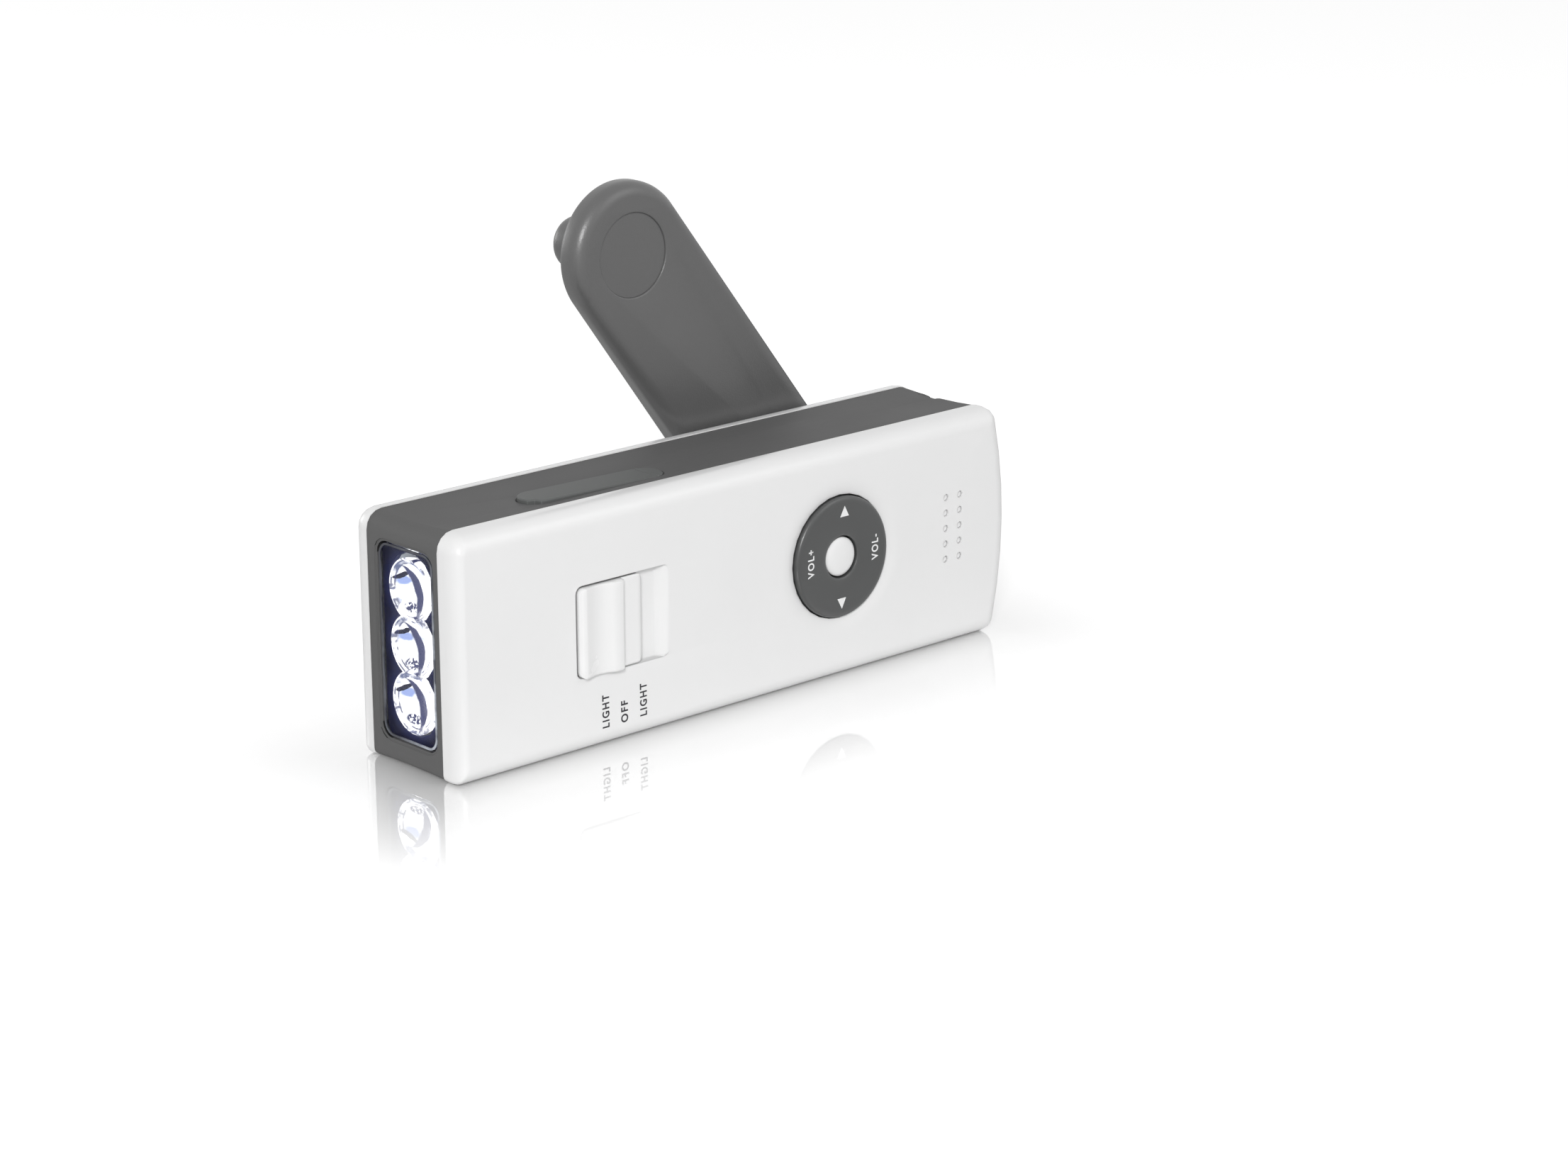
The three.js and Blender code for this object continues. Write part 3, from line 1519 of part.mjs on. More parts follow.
// The arm's outline in its own X-Z plane, from the ears at the hub to the round knob end
function armOutline(inset) {
  const half = armWidth / 2 - inset;
  const corner = armCornerRadius;
  const hubEnd = -earRadius;
  return [
    ...arc(crankLength, 0, half, -Math.PI / 2, Math.PI / 2, medium),
    ...arc(hubEnd + corner, half - corner, corner, Math.PI / 2, Math.PI, cornerSteps - 1),
    ...arc(hubEnd + corner, corner - half, corner, Math.PI, (3 * Math.PI) / 2, cornerSteps - 1),
  ];
}

function crankArm() {
  const rings = Array.from({ length: edgeSteps + 1 }, (_, i) => {
    const angle = ((i / edgeSteps) * Math.PI) / 2;
    return {
      at: armFace + armEdgeRadius * (1 - Math.cos(angle)),
      outline: armOutline(armEdgeRadius * (1 - Math.sin(angle))),
    };
  });
  rings.push({ at: armBack - armBackEdge, outline: armOutline(0) });
  rings.push({ at: armBack, outline: armOutline(armBackEdge) });
  const farEnd = crankLength + armWidth;
  const earProfile = [
    ...arc(0, pinY, earRadius, Math.PI / 2, (3 * Math.PI) / 2, coarse),
    new THREE.Vector2(farEnd, armFace),
    new THREE.Vector2(farEnd, armBack),
  ];
  const blank = loft(rings).intersect(prism(earProfile, "z", -armWidth, armWidth));
  const knobPlace = new THREE.Vector2(crankLength, 0);
  const capSeat = armFace + capSink + capThickness;
  const headSeat = capSeat + axleHeadHeight + fit;
  const slot = box(
    [-earRadius - overrun, earRadius + fit],
    [armFace - overrun, armBack + overrun],
    around(0, lugWidth + 2 * fit),
  );
  return cut(
    blank,
    slot,
    rodAlongZ(0, pinY, pinRadius + pinFit, -armWidth, armWidth, coarse),
    post(knobPlace, capRadius + pinFit, armFace - overrun, capSeat, fine),
    post(knobPlace, axleHeadRadius + fit, armFace, headSeat),
    post(knobPlace, axleRadius + pinFit, armFace, armBack + overrun),
  );
}

function armCap() {
  const from = armFace + capSink;
  return post(new THREE.Vector2(crankLength, 0), capRadius, from, from + capThickness, fine);
}

function knobAxle() {
  const headLow = armFace + capSink + capThickness + fit;
  const seat = headLow + axleHeadHeight;
  const tip = knobBase + axleLength;
  const profile = [
    [0, headLow],
    [axleHeadRadius, headLow],
    [axleHeadRadius, seat],
    [axleRadius, seat],
    [axleRadius, tip - axleBarbLength],
    [axleRadius + axleBarb, tip - axleBarbLength],
    [axleRadius, tip],
    [0, tip],
  ];
  return turned(profile, new THREE.Vector2(crankLength, 0), coarse);
}

// Radius of the knob as shares of the way along it and between its neck and its full radius
const knobShares = [
  [0, 0.35],
  [0.05, 0.1],
  [0.12, 0],
  [0.25, 0.14],
  [0.42, 0.55],
  [0.58, 0.9],
  [0.7, 1],
];

function crankKnob() {
  const grip = knobShares.map(([along, swell]) => {
    return [THREE.MathUtils.lerp(knobNeckRadius, knobRadius, swell), knobBase + knobLength * along];
  });
  const tip = knobBase + knobLength;
  const round = arc(knobRadius - knobTipRadius, tip - knobTipRadius, knobTipRadius, 0, Math.PI / 2, edgeSteps);
  const outer = [[0, knobBase], ...grip, ...round.map((point) => [point.x, point.y]), [0, tip]];
  const bore = axleRadius + pinFit;
  const chamber = axleRadius + axleBarb + fit;
  const barbStart = knobBase + axleLength - axleBarbLength - pinFit;
  const end = knobBase + axleLength + fit;
  const inner = [
    [0, knobBase - overrun],
    [bore, knobBase - overrun],
    [bore, barbStart],
    [chamber, barbStart],
    [chamber, end],
    [0, end],
  ];
  const place = new THREE.Vector2(crankLength, 0);
  return cut(turned(outer, place, fine / 2), turned(inner, place, coarse));
}

// Finishes
function finish(color, roughness, metalness = 0) {
  return new THREE.MeshStandardMaterial({ color, roughness, metalness });
}

const whitePlastic = finish(0xeeefec, 0.28);
const darkPlastic = finish(0x626262, 0.55);
const padPlastic = finish(0x525454, 0.5);
const rubber = finish(0x5c5e5e, 0.8);
const navyPlastic = finish(0x1c2238, 0.3);
const mirror = finish(0xe8ecf2, 0.06, 1);
const clearPlastic = new THREE.MeshStandardMaterial({
  color: 0xf4f8ff,
  roughness: 0.05,
  transparent: true,
  opacity: 0.25,
});
const ledPlastic = finish(0xf6f9ff, 0.1);
const circuitBoard = finish(0x1f5a38, 0.5);
const blackPlastic = finish(0x161616, 0.5);
const steel = finish(0xb9bcc0, 0.35, 1);
const brass = finish(0xb08d4a, 0.35, 1);
const copper = finish(0xa8603a, 0.4, 1);
const nylon = finish(0xe6e1d2, 0.5);
const cloth = finish(0xe4e4e0, 0.9);

function piece(name, solid, material) {
  const mesh = new THREE.Mesh(geometryOf(solid), material);
  mesh.name = name;
  return mesh;
}

function casingGroup() {
  const group = new THREE.Group();
  group.add(
    piece("front_cover", frontCover(), whitePlastic),
    piece("mid_frame", midFrame(), darkPlastic),
    piece("rear_cover", rearCover(), whitePlastic),
    piece("window_lens", windowLens(), clearPlastic),
    piece("light_mask", lightMask(), navyPlastic),
    piece("reflector", reflector(), mirror),
    piece("led_board", lampBoard(), circuitBoard),
    piece("main_board", mainBoard(), circuitBoard),
    piece("radio_chip", radioChip(), blackPlastic),
    piece("light_switch_body", lightSwitchBody(), blackPlastic),
    piece("mode_switch_body", modeSwitchBody(), blackPlastic),
    piece("speaker", speaker(), blackPlastic),
    piece("speaker_cloth", speakerCloth(), cloth),
    piece("earphone_jack", socketBody(earphoneX, earphoneBore), blackPlastic),
    piece("charge_socket", socketBody(chargeX, chargeBore), blackPlastic),
    piece("socket_cover_anchor", socketCoverAnchor(), rubber),
  );
  lampPlaces().forEach((place, i) => group.add(piece(`led_${i + 1}`, led(place), ledPlastic)));
  caseScrews.forEach((place, i) => group.add(piece(`casing_screw_${i + 1}`, caseScrew(place), steel)));
  boardScrews.forEach((place, i) => group.add(piece(`board_screw_${i + 1}`, boardScrew(place), steel)));
  [0, 1, 2].forEach((i) => group.add(piece(`battery_cell_${i + 1}`, batteryCell(i), steel)));
  tactPlaces().forEach(([name, place]) => group.add(piece(name, tactSwitch(place), blackPlastic)));
  return group;
}

// The four rim switches and the one under the button
function tactPlaces() {
  const middle = new THREE.Vector2(dialX, controlZ);
  const names = ["tact_volume_down", "tact_tune_up", "tact_volume_up", "tact_tune_down"];
  const rim = names.map((name, i) => [name, stepped(middle, (i * Math.PI) / 2, padNibPlace)]);
  return [...rim, ["tact_centre", middle]];
}

function trainGroup() {
  const group = new THREE.Group();
  group.add(
    piece("gear_plate", gearPlate(), steel),
    piece("idler_axle_1", idlerAxle(idlerOneCentre, levelPitch), steel),
    piece("idler_axle_2", idlerAxle(idlerTwoCentre, 0), steel),
    piece("idler_gear_1", firstIdler(), nylon),
    piece("idler_gear_2", secondIdler(), nylon),
    piece("generator_case", generatorCase(), steel),
    piece("generator_coil", generatorCoil(), copper),
    piece("generator_magnet", generatorMagnet(), blackPlastic),
    piece("rotor_shaft", rotorShaft(), brass),
  );
  plateScrews.forEach((place, i) => group.add(piece(`plate_screw_${i + 1}`, plateScrew(place), steel)));
  return group;
}

function controlsGroup() {
  const group = new THREE.Group();
  group.add(
    piece("light_switch_slider", lightSwitchSlider(), whitePlastic),
    piece("mode_switch_slider", modeSwitchSlider(), darkPlastic),
    piece("pad_ring", padRing(), rubber),
    piece("tuning_pad", tuningPad(), padPlastic),
    piece("centre_button", centreButton(), whitePlastic),
    piece("socket_cover", socketCover(), rubber),
  );
  return group;
}

// The crank is drawn along its own X axis and then turned to its angle
function crankGroup() {
  const group = new THREE.Group();
  group.add(
    piece("crank_hub", crankHub(), darkPlastic),
    piece("crank_gear", crankGear(), nylon),
    piece("hub_clip", hubClip(), steel),
    piece("hinge_pin", hingePin(), steel),
    piece("crank_arm", crankArm(), darkPlastic),
    piece("arm_cap", armCap(), darkPlastic),
    piece("knob_axle", knobAxle(), steel),
    piece("crank_knob", crankKnob(), darkPlastic),
  );
  group.position.set(hubX, 0, midZ);
  group.rotation.y = -crankAngle;
  return group;
}

// The origin is the middle of the flat strip of the front cover that the flashlight stands on
const flashlight = new THREE.Group();
flashlight.add(casingGroup(), trainGroup(), controlsGroup(), crankGroup());
flashlight.position.set(-bodyLength / 2, -restStrip, 0);

export default flashlight;
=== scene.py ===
import json
import math

import bpy
from mathutils import Matrix, Vector

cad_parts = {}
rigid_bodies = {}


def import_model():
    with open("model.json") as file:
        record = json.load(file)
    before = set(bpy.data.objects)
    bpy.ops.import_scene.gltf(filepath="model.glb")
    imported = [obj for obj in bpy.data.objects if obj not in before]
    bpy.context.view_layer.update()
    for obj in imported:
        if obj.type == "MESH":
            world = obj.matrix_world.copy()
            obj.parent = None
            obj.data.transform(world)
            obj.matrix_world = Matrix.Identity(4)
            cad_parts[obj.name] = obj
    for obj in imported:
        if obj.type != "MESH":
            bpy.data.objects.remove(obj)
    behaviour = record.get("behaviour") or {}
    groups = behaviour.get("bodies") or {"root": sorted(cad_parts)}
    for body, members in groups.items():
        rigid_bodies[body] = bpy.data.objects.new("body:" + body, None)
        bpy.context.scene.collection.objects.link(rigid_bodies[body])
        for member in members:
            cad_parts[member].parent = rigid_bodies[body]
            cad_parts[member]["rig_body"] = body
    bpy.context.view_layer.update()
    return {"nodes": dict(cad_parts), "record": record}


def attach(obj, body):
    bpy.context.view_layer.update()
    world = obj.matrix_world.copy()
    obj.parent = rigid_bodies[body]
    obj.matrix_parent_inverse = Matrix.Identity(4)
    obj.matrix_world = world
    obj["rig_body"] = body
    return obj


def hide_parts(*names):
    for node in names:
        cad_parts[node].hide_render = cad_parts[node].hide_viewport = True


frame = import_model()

scene = bpy.context.scene
nodes = frame["nodes"]
print("frame loaded:", len(nodes), "nodes")


# casing millimetres (from the light end, the front face and the resting side) to the shared frame
def spot(x, y, z):
    return Vector(((x - 66.1) / 1000, (y - 4.2) / 1000, z / 1000))


# ---- camera, floor and light ----

camera = {
    "place": (-0.435812, -0.484467, 0.22069),
    "forward": (0.650356, 0.701216, -0.292119),
    "up": (0.200758, 0.21222, 0.956378),
    "lens": 85.705,
    "sensor": 36,
}

forward = Vector(camera["forward"]).normalized()
sideways = forward.cross(Vector(camera["up"])).normalized()
upward = sideways.cross(forward)
bpy.ops.object.select_all(action="DESELECT")
bpy.ops.object.camera_add(location=camera["place"])
viewer = bpy.context.object
viewer.name = "viewCamera"
viewer.matrix_world = Matrix.Translation(camera["place"]) @ Matrix((sideways, upward, -forward)).transposed().to_4x4()
viewer.data.lens = camera["lens"]
viewer.data.sensor_width = camera["sensor"]
viewer.data.clip_start = 0.01
viewer.data.clip_end = 50
scene.camera = viewer
scene.view_settings.view_transform = "Standard"


def clearSelection():
    if bpy.context.object and bpy.context.object.mode != "OBJECT":
        bpy.ops.object.mode_set(mode="OBJECT")
    bpy.ops.object.select_all(action="DESELECT")


def pick(piece):
    clearSelection()
    piece.select_set(True)
    bpy.context.view_layer.objects.active = piece


def link(tree, a, b):
    tree.links.new(a, b)


def addNode(tree, kind, **values):
    node = tree.nodes.new(kind)
    for key, value in values.items():
        setattr(node, key, value)
    return node


def math1(tree, operation, a, b=None, clamp=False):
    node = addNode(tree, "ShaderNodeMath", operation=operation, use_clamp=clamp)
    for socket, value in zip(node.inputs, (a, b)):
        if value is None:
            continue
        if hasattr(value, "is_linked"):
            link(tree, value, socket)
        else:
            socket.default_value = value
    return node.outputs[0]


# a white world for what the camera and the gloss see, a softer one for the light on the object
sky = {"light": 0.53}
world = bpy.data.worlds.new("studio")
scene.world = world
world.use_nodes = True
tree = world.node_tree
ground = tree.nodes["Background"]
ground.inputs["Color"].default_value = (1, 1, 1, 1)
path = addNode(tree, "ShaderNodeLightPath")
seen = math1(tree, "MAXIMUM", path.outputs["Is Camera Ray"], path.outputs["Is Transmission Ray"])
seen = math1(tree, "MAXIMUM", seen, path.outputs["Is Glossy Ray"])
level = math1(tree, "MULTIPLY_ADD", seen, 1 - sky["light"])
level.node.inputs[2].default_value = sky["light"]
link(tree, level, ground.inputs["Strength"])

lamps = {
    "keyLamp": {"place": (-0.85, -0.85, 0.62), "size": 0.26, "power": 8.6},
    "fillLamp": {"place": (0.55, -0.9, 0.75), "size": 0.8, "power": 1.7},
    "backLamp": {"place": (-0.4, 1.15, 0.28), "size": 0.5, "power": 1.8},
}
for name, lamp in lamps.items():
    bpy.ops.object.light_add(type="AREA", location=lamp["place"])
    light = bpy.context.object
    light.name = name
    light.data.shape = "DISK"
    light.data.size = lamp["size"]
    light.data.energy = lamp["power"]
    light.rotation_euler = (-Vector(lamp["place"]) + Vector((0, 0, 0.03))).to_track_quat("-Z", "Y").to_euler()
print("camera, world and lamps made")

# ---- finishes ----


# a shader node group with its sockets
def newGroup(name, inputs, outputs):
    group = bpy.data.node_groups.new(name, "ShaderNodeTree")
    for socket, kind, value in inputs:
        made = group.interface.new_socket(name=socket, in_out="INPUT", socket_type=kind)
        if value is not None:
            made.default_value = value
    for socket, kind in outputs:
        group.interface.new_socket(name=socket, in_out="OUTPUT", socket_type=kind)
    return group, group.nodes.new("NodeGroupInput"), group.nodes.new("NodeGroupOutput")


# moulding grain: fine height, and broad patches of slightly different tone
grain, source, result = newGroup(
    "mouldGrain",
    [("Scale", "NodeSocketFloat", 2500), ("Patch Scale", "NodeSocketFloat", 60)],
    [("Height", "NodeSocketFloat"), ("Tone", "NodeSocketFloat")],
)
where = addNode(grain, "ShaderNodeTexCoord")
fineNoise = addNode(grain, "ShaderNodeTexNoise")
fineNoise.inputs["Detail"].default_value = 3
broadNoise = addNode(grain, "ShaderNodeTexNoise")
broadNoise.inputs["Detail"].default_value = 4
for noise, socket in ((fineNoise, "Scale"), (broadNoise, "Patch Scale")):
    link(grain, where.outputs["Object"], noise.inputs["Vector"])
    link(grain, source.outputs[socket], noise.inputs["Scale"])
link(grain, fineNoise.outputs["Fac"], result.inputs["Height"])
link(grain, broadNoise.outputs["Fac"], result.inputs["Tone"])

# soft edges: a rounded normal, and a mask of how sharply the surface turns
edges, source, result = newGroup(
    "softEdge",
    [("Radius", "NodeSocketFloat", 0.0002)],
    [("Normal", "NodeSocketVector"), ("Edge", "NodeSocketFloat")],
)
rounded = addNode(edges, "ShaderNodeBevel", samples=6)
shape = addNode(edges, "ShaderNodeNewGeometry")
turn = addNode(edges, "ShaderNodeVectorMath", operation="DOT_PRODUCT")
spread = addNode(edges, "ShaderNodeMapRange")
spread.inputs["From Min"].default_value = 0.99
spread.inputs["From Max"].default_value = 0.85
link(edges, source.outputs["Radius"], rounded.inputs["Radius"])
link(edges, rounded.outputs["Normal"], turn.inputs[0])
link(edges, shape.outputs["Normal"], turn.inputs[1])
link(edges, turn.outputs["Value"], spread.inputs["Value"])
link(edges, rounded.outputs["Normal"], result.inputs["Normal"])
link(edges, spread.outputs["Result"], result.inputs["Edge"])

# brushing: long fine streaks along one way
brushed, source, result = newGroup(
    "brushing",
    [("Scale", "NodeSocketVector", (400, 400, 9000))],
    [("Height", "NodeSocketFloat")],
)
where = addNode(brushed, "ShaderNodeTexCoord")
stretch = addNode(brushed, "ShaderNodeVectorMath", operation="MULTIPLY")
streaks = addNode(brushed, "ShaderNodeTexNoise")
streaks.inputs["Scale"].default_value = 1
streaks.inputs["Detail"].default_value = 4
link(brushed, where.outputs["Object"], stretch.inputs[0])
link(brushed, source.outputs["Scale"], stretch.inputs[1])
link(brushed, stretch.outputs["Vector"], streaks.inputs["Vector"])
link(brushed, streaks.outputs["Fac"], result.inputs["Height"])


def placeGroup(tree, group, **values):
    node = addNode(tree, "ShaderNodeGroup", node_tree=group)
    for key, value in values.items():
        node.inputs[key.replace("_", " ")].default_value = value
    return node


def mixColour(tree, factor, a, b, blend="MIX"):
    node = addNode(tree, "ShaderNodeMix", data_type="RGBA", blend_type=blend)
    link(tree, factor, node.inputs["Factor"])
    for socket, value in ((node.inputs["A"], a), (node.inputs["B"], b)):
        if hasattr(value, "is_linked"):
            link(tree, value, socket)
        else:
            socket.default_value = (*value, 1)
    return node.outputs["Result"]


def mapRange(tree, value, low, high, toLow, toHigh):
    node = addNode(tree, "ShaderNodeMapRange")
    link(tree, value, node.inputs["Value"])
    for key, number in zip(("From Min", "From Max", "To Min", "To Max"), (low, high, toLow, toHigh)):
        node.inputs[key].default_value = number
    return node.outputs["Result"]


def newMaterial(name):
    material = bpy.data.materials.new(name)
    material.use_nodes = True
    return material, material.node_tree, material.node_tree.nodes["Principled BSDF"]


# moulded plastic or rubber: grain, faint patches of tone, and paler edges, partly rubbing wear and partly a painted
# highlight on the rounding
def mouldedFinish(name, look):
    material, tree, shader = newMaterial(name)
    texture = placeGroup(tree, grain, Scale=look["grainScale"], Patch_Scale=look.get("patchScale", 60))
    rim = placeGroup(tree, edges, Radius=look.get("edgeRadius", 0.0002))
    patches = mapRange(tree, texture.outputs["Tone"], 0.3, 0.7, 0, 1)
    dim = [part * (1 - look["tone"]) for part in look["colour"]]
    surface = mixColour(tree, patches, dim, look["colour"])
    # painted highlight and wear: the edge mask lightens the colour at edges
    wornAndHighlight = math1(tree, "MULTIPLY", rim.outputs["Edge"], look["edgeWearAndHighlight"], clamp=True)
    surface = mixColour(tree, wornAndHighlight, surface, look["wornAndHighlightColour"])
    # painted shade: ambient occlusion darkens the colour in creases, gaps and hollows
    if "paintedCreaseShade" in look:
        creaseShadeMask = addNode(tree, "ShaderNodeAmbientOcclusion", samples=8)
        creaseShadeMask.inputs["Distance"].default_value = 0.0007
        surface = mixColour(tree, mapRange(tree, creaseShadeMask.outputs["AO"], 0.3, 0.7, look["paintedCreaseShade"], 0), surface, (0.2, 0.2, 0.2))
    link(tree, surface, shader.inputs["Base Color"])
    rough = look["roughness"]
    link(tree, mapRange(tree, texture.outputs["Tone"], 0.3, 0.7, rough * 0.92, rough * 1.08), shader.inputs["Roughness"])
    bump = addNode(tree, "ShaderNodeBump")
    bump.inputs["Strength"].default_value = look["grainStrength"]
    bump.inputs["Distance"].default_value = look["grainDepth"]
    link(tree, texture.outputs["Height"], bump.inputs["Height"])
    link(tree, rim.outputs["Normal"], bump.inputs["Normal"])
    link(tree, bump.outputs["Normal"], shader.inputs["Normal"])
    shader.inputs["Coat Weight"].default_value = look.get("coat", 0)
    shader.inputs["Coat Roughness"].default_value = look.get("coatRoughness", 0.1)
    shader.inputs["Specular IOR Level"].default_value = look.get("specular", 0.5)
    shader.inputs["IOR"].default_value = look.get("ior", 1.5)
    return material


def metalFinish(name, look):
    material, tree, shader = newMaterial(name)
    streak = placeGroup(tree, brushed, Scale=look["streakScale"])
    texture = placeGroup(tree, grain, Scale=3000, Patch_Scale=90)
    rim = placeGroup(tree, edges, Radius=0.00012)
    patches = mapRange(tree, texture.outputs["Tone"], 0.3, 0.7, 0, 1)
    dim = [part * (1 - look["tone"]) for part in look["colour"]]
    link(tree, mixColour(tree, patches, dim, look["colour"]), shader.inputs["Base Color"])
    shader.inputs["Metallic"].default_value = 1
    rough = look["roughness"]
    link(tree, mapRange(tree, streak.outputs["Height"], 0.3, 0.7, rough * 0.8, rough * 1.25), shader.inputs["Roughness"])
    bump = addNode(tree, "ShaderNodeBump")
    bump.inputs["Strength"].default_value = 0.25
    bump.inputs["Distance"].default_value = look.get("streakDepth", 0.00001)
    link(tree, streak.outputs["Height"], bump.inputs["Height"])
    link(tree, rim.outputs["Normal"], bump.inputs["Normal"])
    link(tree, bump.outputs["Normal"], shader.inputs["Normal"])
    return material


plastics = {
    # the white cover's creases get painted shade
    "white_plastic": {
        "colour": (0.82, 0.82, 0.82), "wornAndHighlightColour": (0.86, 0.86, 0.86), "edgeWearAndHighlight": 0.4, "tone": 0.012, "roughness": 0.3,
        "grainScale": 1800, "grainStrength": 0.08, "grainDepth": 0.00001, "coat": 0.3, "edgeRadius": 0.00025, "paintedCreaseShade": 0.4,
    },
    "dark_plastic": {
        "colour": (0.124, 0.124, 0.124), "wornAndHighlightColour": (0.19, 0.19, 0.19), "edgeWearAndHighlight": 0.4, "tone": 0.05, "roughness": 0.58, "ior": 1.2,
        "grainScale": 2600, "grainStrength": 0.45, "grainDepth": 0.00003, "edgeRadius": 0.0003,
    },
    "arm_plastic": {
        "colour": (0.098, 0.098, 0.098), "wornAndHighlightColour": (0.14, 0.14, 0.14), "edgeWearAndHighlight": 0.3, "tone": 0.05, "roughness": 0.32, "ior": 1.45, "specular": 0.9,
        "grainScale": 3600, "grainStrength": 0.6, "grainDepth": 0.00004, "edgeRadius": 0.00015,
    },
    # the slide's edges are lightened almost to white as a painted highlight, and its creases get strong painted shade
    "slide_plastic": {
        "colour": (0.84, 0.84, 0.84), "wornAndHighlightColour": (0.95, 0.95, 0.95), "edgeWearAndHighlight": 1, "tone": 0.01, "roughness": 0.26,
        "grainScale": 1800, "grainStrength": 0.06, "grainDepth": 0.00001, "coat": 0.4, "edgeRadius": 0.0007, "paintedCreaseShade": 0.8,
    },
    "pad_plastic": {
        "colour": (0.05, 0.052, 0.052), "wornAndHighlightColour": (0.12, 0.12, 0.12), "edgeWearAndHighlight": 0.4, "tone": 0.06, "roughness": 0.34, "specular": 0.85,
        "grainScale": 3200, "grainStrength": 0.3, "grainDepth": 0.000015,
    },
    "dark_rubber": {
        "colour": (0.12, 0.125, 0.123), "wornAndHighlightColour": (0.3, 0.315, 0.31), "edgeWearAndHighlight": 0.9, "tone": 0.1, "roughness": 0.62,
        "grainScale": 2200, "grainStrength": 0.4, "grainDepth": 0.00003, "specular": 0.35,
    },
    "navy_plastic": {
        "colour": (0.01, 0.012, 0.042), "wornAndHighlightColour": (0.02, 0.024, 0.07), "edgeWearAndHighlight": 0.4, "tone": 0.25, "roughness": 0.4,
        "grainScale": 1500, "grainStrength": 0.1, "grainDepth": 0.00001, "specular": 0.15,
    },
    "black_plastic": {
        "colour": (0.014, 0.014, 0.014), "wornAndHighlightColour": (0.05, 0.05, 0.05), "edgeWearAndHighlight": 0.5, "tone": 0.2, "roughness": 0.45,
        "grainScale": 3000, "grainStrength": 0.35, "grainDepth": 0.00002,
    },
    "nylon": {
        "colour": (0.78, 0.74, 0.64), "wornAndHighlightColour": (0.84, 0.81, 0.73), "edgeWearAndHighlight": 0.4, "tone": 0.06, "roughness": 0.42,
        "grainScale": 2200, "grainStrength": 0.2, "grainDepth": 0.00002,
    },
    "magnet": {
        "colour": (0.03, 0.03, 0.032), "wornAndHighlightColour": (0.08, 0.08, 0.085), "edgeWearAndHighlight": 0.6, "tone": 0.3, "roughness": 0.6,
        "grainScale": 4000, "grainStrength": 0.6, "grainDepth": 0.00004,
    },
}
metals = {
    "steel": {"colour": (0.62, 0.63, 0.65), "tone": 0.08, "roughness": 0.3, "streakScale": (500, 500, 9000)},
    "brass": {"colour": (0.68, 0.49, 0.2), "tone": 0.1, "roughness": 0.26, "streakScale": (400, 8000, 400)},
    "copper": {"colour": (0.6, 0.23, 0.1), "tone": 0.15, "roughness": 0.32, "streakScale": (300, 14000, 300), "streakDepth": 0.0001},
    "mirror_coat": {"colour": (0.86, 0.9, 0.96), "tone": 0.03, "roughness": 0.06, "streakScale": (900, 300, 300), "streakDepth": 0.00002},
}
finishes = {slot: mouldedFinish(slot + "Finish", look) for slot, look in plastics.items()}
finishes.update({slot: metalFinish(slot + "Finish", look) for slot, look in metals.items()})


# clear moulded window, with the faintest waviness
def clearFinish(name, look):
    material, tree, shader = newMaterial(name)
    texture = placeGroup(tree, grain, Scale=look["waveScale"], Patch_Scale=40)
    tint = mapRange(tree, texture.outputs["Tone"], 0.3, 0.7, 0, 1)
    link(tree, mixColour(tree, tint, look["colour"], (1, 1, 1)), shader.inputs["Base Color"])
    shader.inputs["Roughness"].default_value = look["roughness"]
    shader.inputs["Transmission Weight"].default_value = 1
    shader.inputs["IOR"].default_value = look["ior"]
    bump = addNode(tree, "ShaderNodeBump")
    bump.inputs["Strength"].default_value = 0.1
    bump.inputs["Distance"].default_value = look["waveDepth"]
    link(tree, texture.outputs["Height"], bump.inputs["Height"])
    link(tree, bump.outputs["Normal"], shader.inputs["Normal"])
    return material


finishes["clear_plastic"] = clearFinish(
    "clear_plasticFinish", {"colour": (0.95, 0.97, 1), "roughness": 0.01, "ior": 1.12, "waveScale": 300, "waveDepth": 0.00001}
)

# a lit lamp: its epoxy glows white with a blue rim
lamp = {"core": (1, 1, 1), "rim": (0.62, 0.75, 1), "strength": 6, "axisY": 14.65}
material, tree, shader = newMaterial("led_plasticFinish")
texture = placeGroup(tree, grain, Scale=900, Patch_Scale=400)
glow = mixColour(tree, mapRange(tree, texture.outputs["Tone"], 0.35, 0.6, 0, 1), lamp["rim"], lamp["core"])
link(tree, glow, shader.inputs["Base Color"])
link(tree, glow, shader.inputs["Emission Color"])
shader.inputs["Emission Strength"].default_value = lamp["strength"]
shader.inputs["Roughness"].default_value = 0.08
finishes["led_plastic"] = material

# solder mask over copper tracks
board = {"mask": (0.012, 0.09, 0.04), "track": (0.03, 0.17, 0.07), "trackScale": 90}
material, tree, shader = newMaterial("circuit_boardFinish")
where = addNode(tree, "ShaderNodeTexCoord")
tracks = addNode(tree, "ShaderNodeTexVoronoi", distance="MANHATTAN", feature="DISTANCE_TO_EDGE")
tracks.inputs["Scale"].default_value = board["trackScale"]
link(tree, where.outputs["Object"], tracks.inputs["Vector"])
line = mapRange(tree, tracks.outputs["Distance"], 0.02, 0.06, 1, 0)
texture = placeGroup(tree, grain, Scale=2500, Patch_Scale=120)
link(tree, mixColour(tree, line, board["mask"], board["track"]), shader.inputs["Base Color"])
link(tree, mapRange(tree, texture.outputs["Tone"], 0.3, 0.7, 0.3, 0.42), shader.inputs["Roughness"])
bump = addNode(tree, "ShaderNodeBump")
bump.inputs["Strength"].default_value = 0.3
bump.inputs["Distance"].default_value = 0.00003
link(tree, line, bump.inputs["Height"])
link(tree, bump.outputs["Normal"], shader.inputs["Normal"])
finishes["circuit_board"] = material

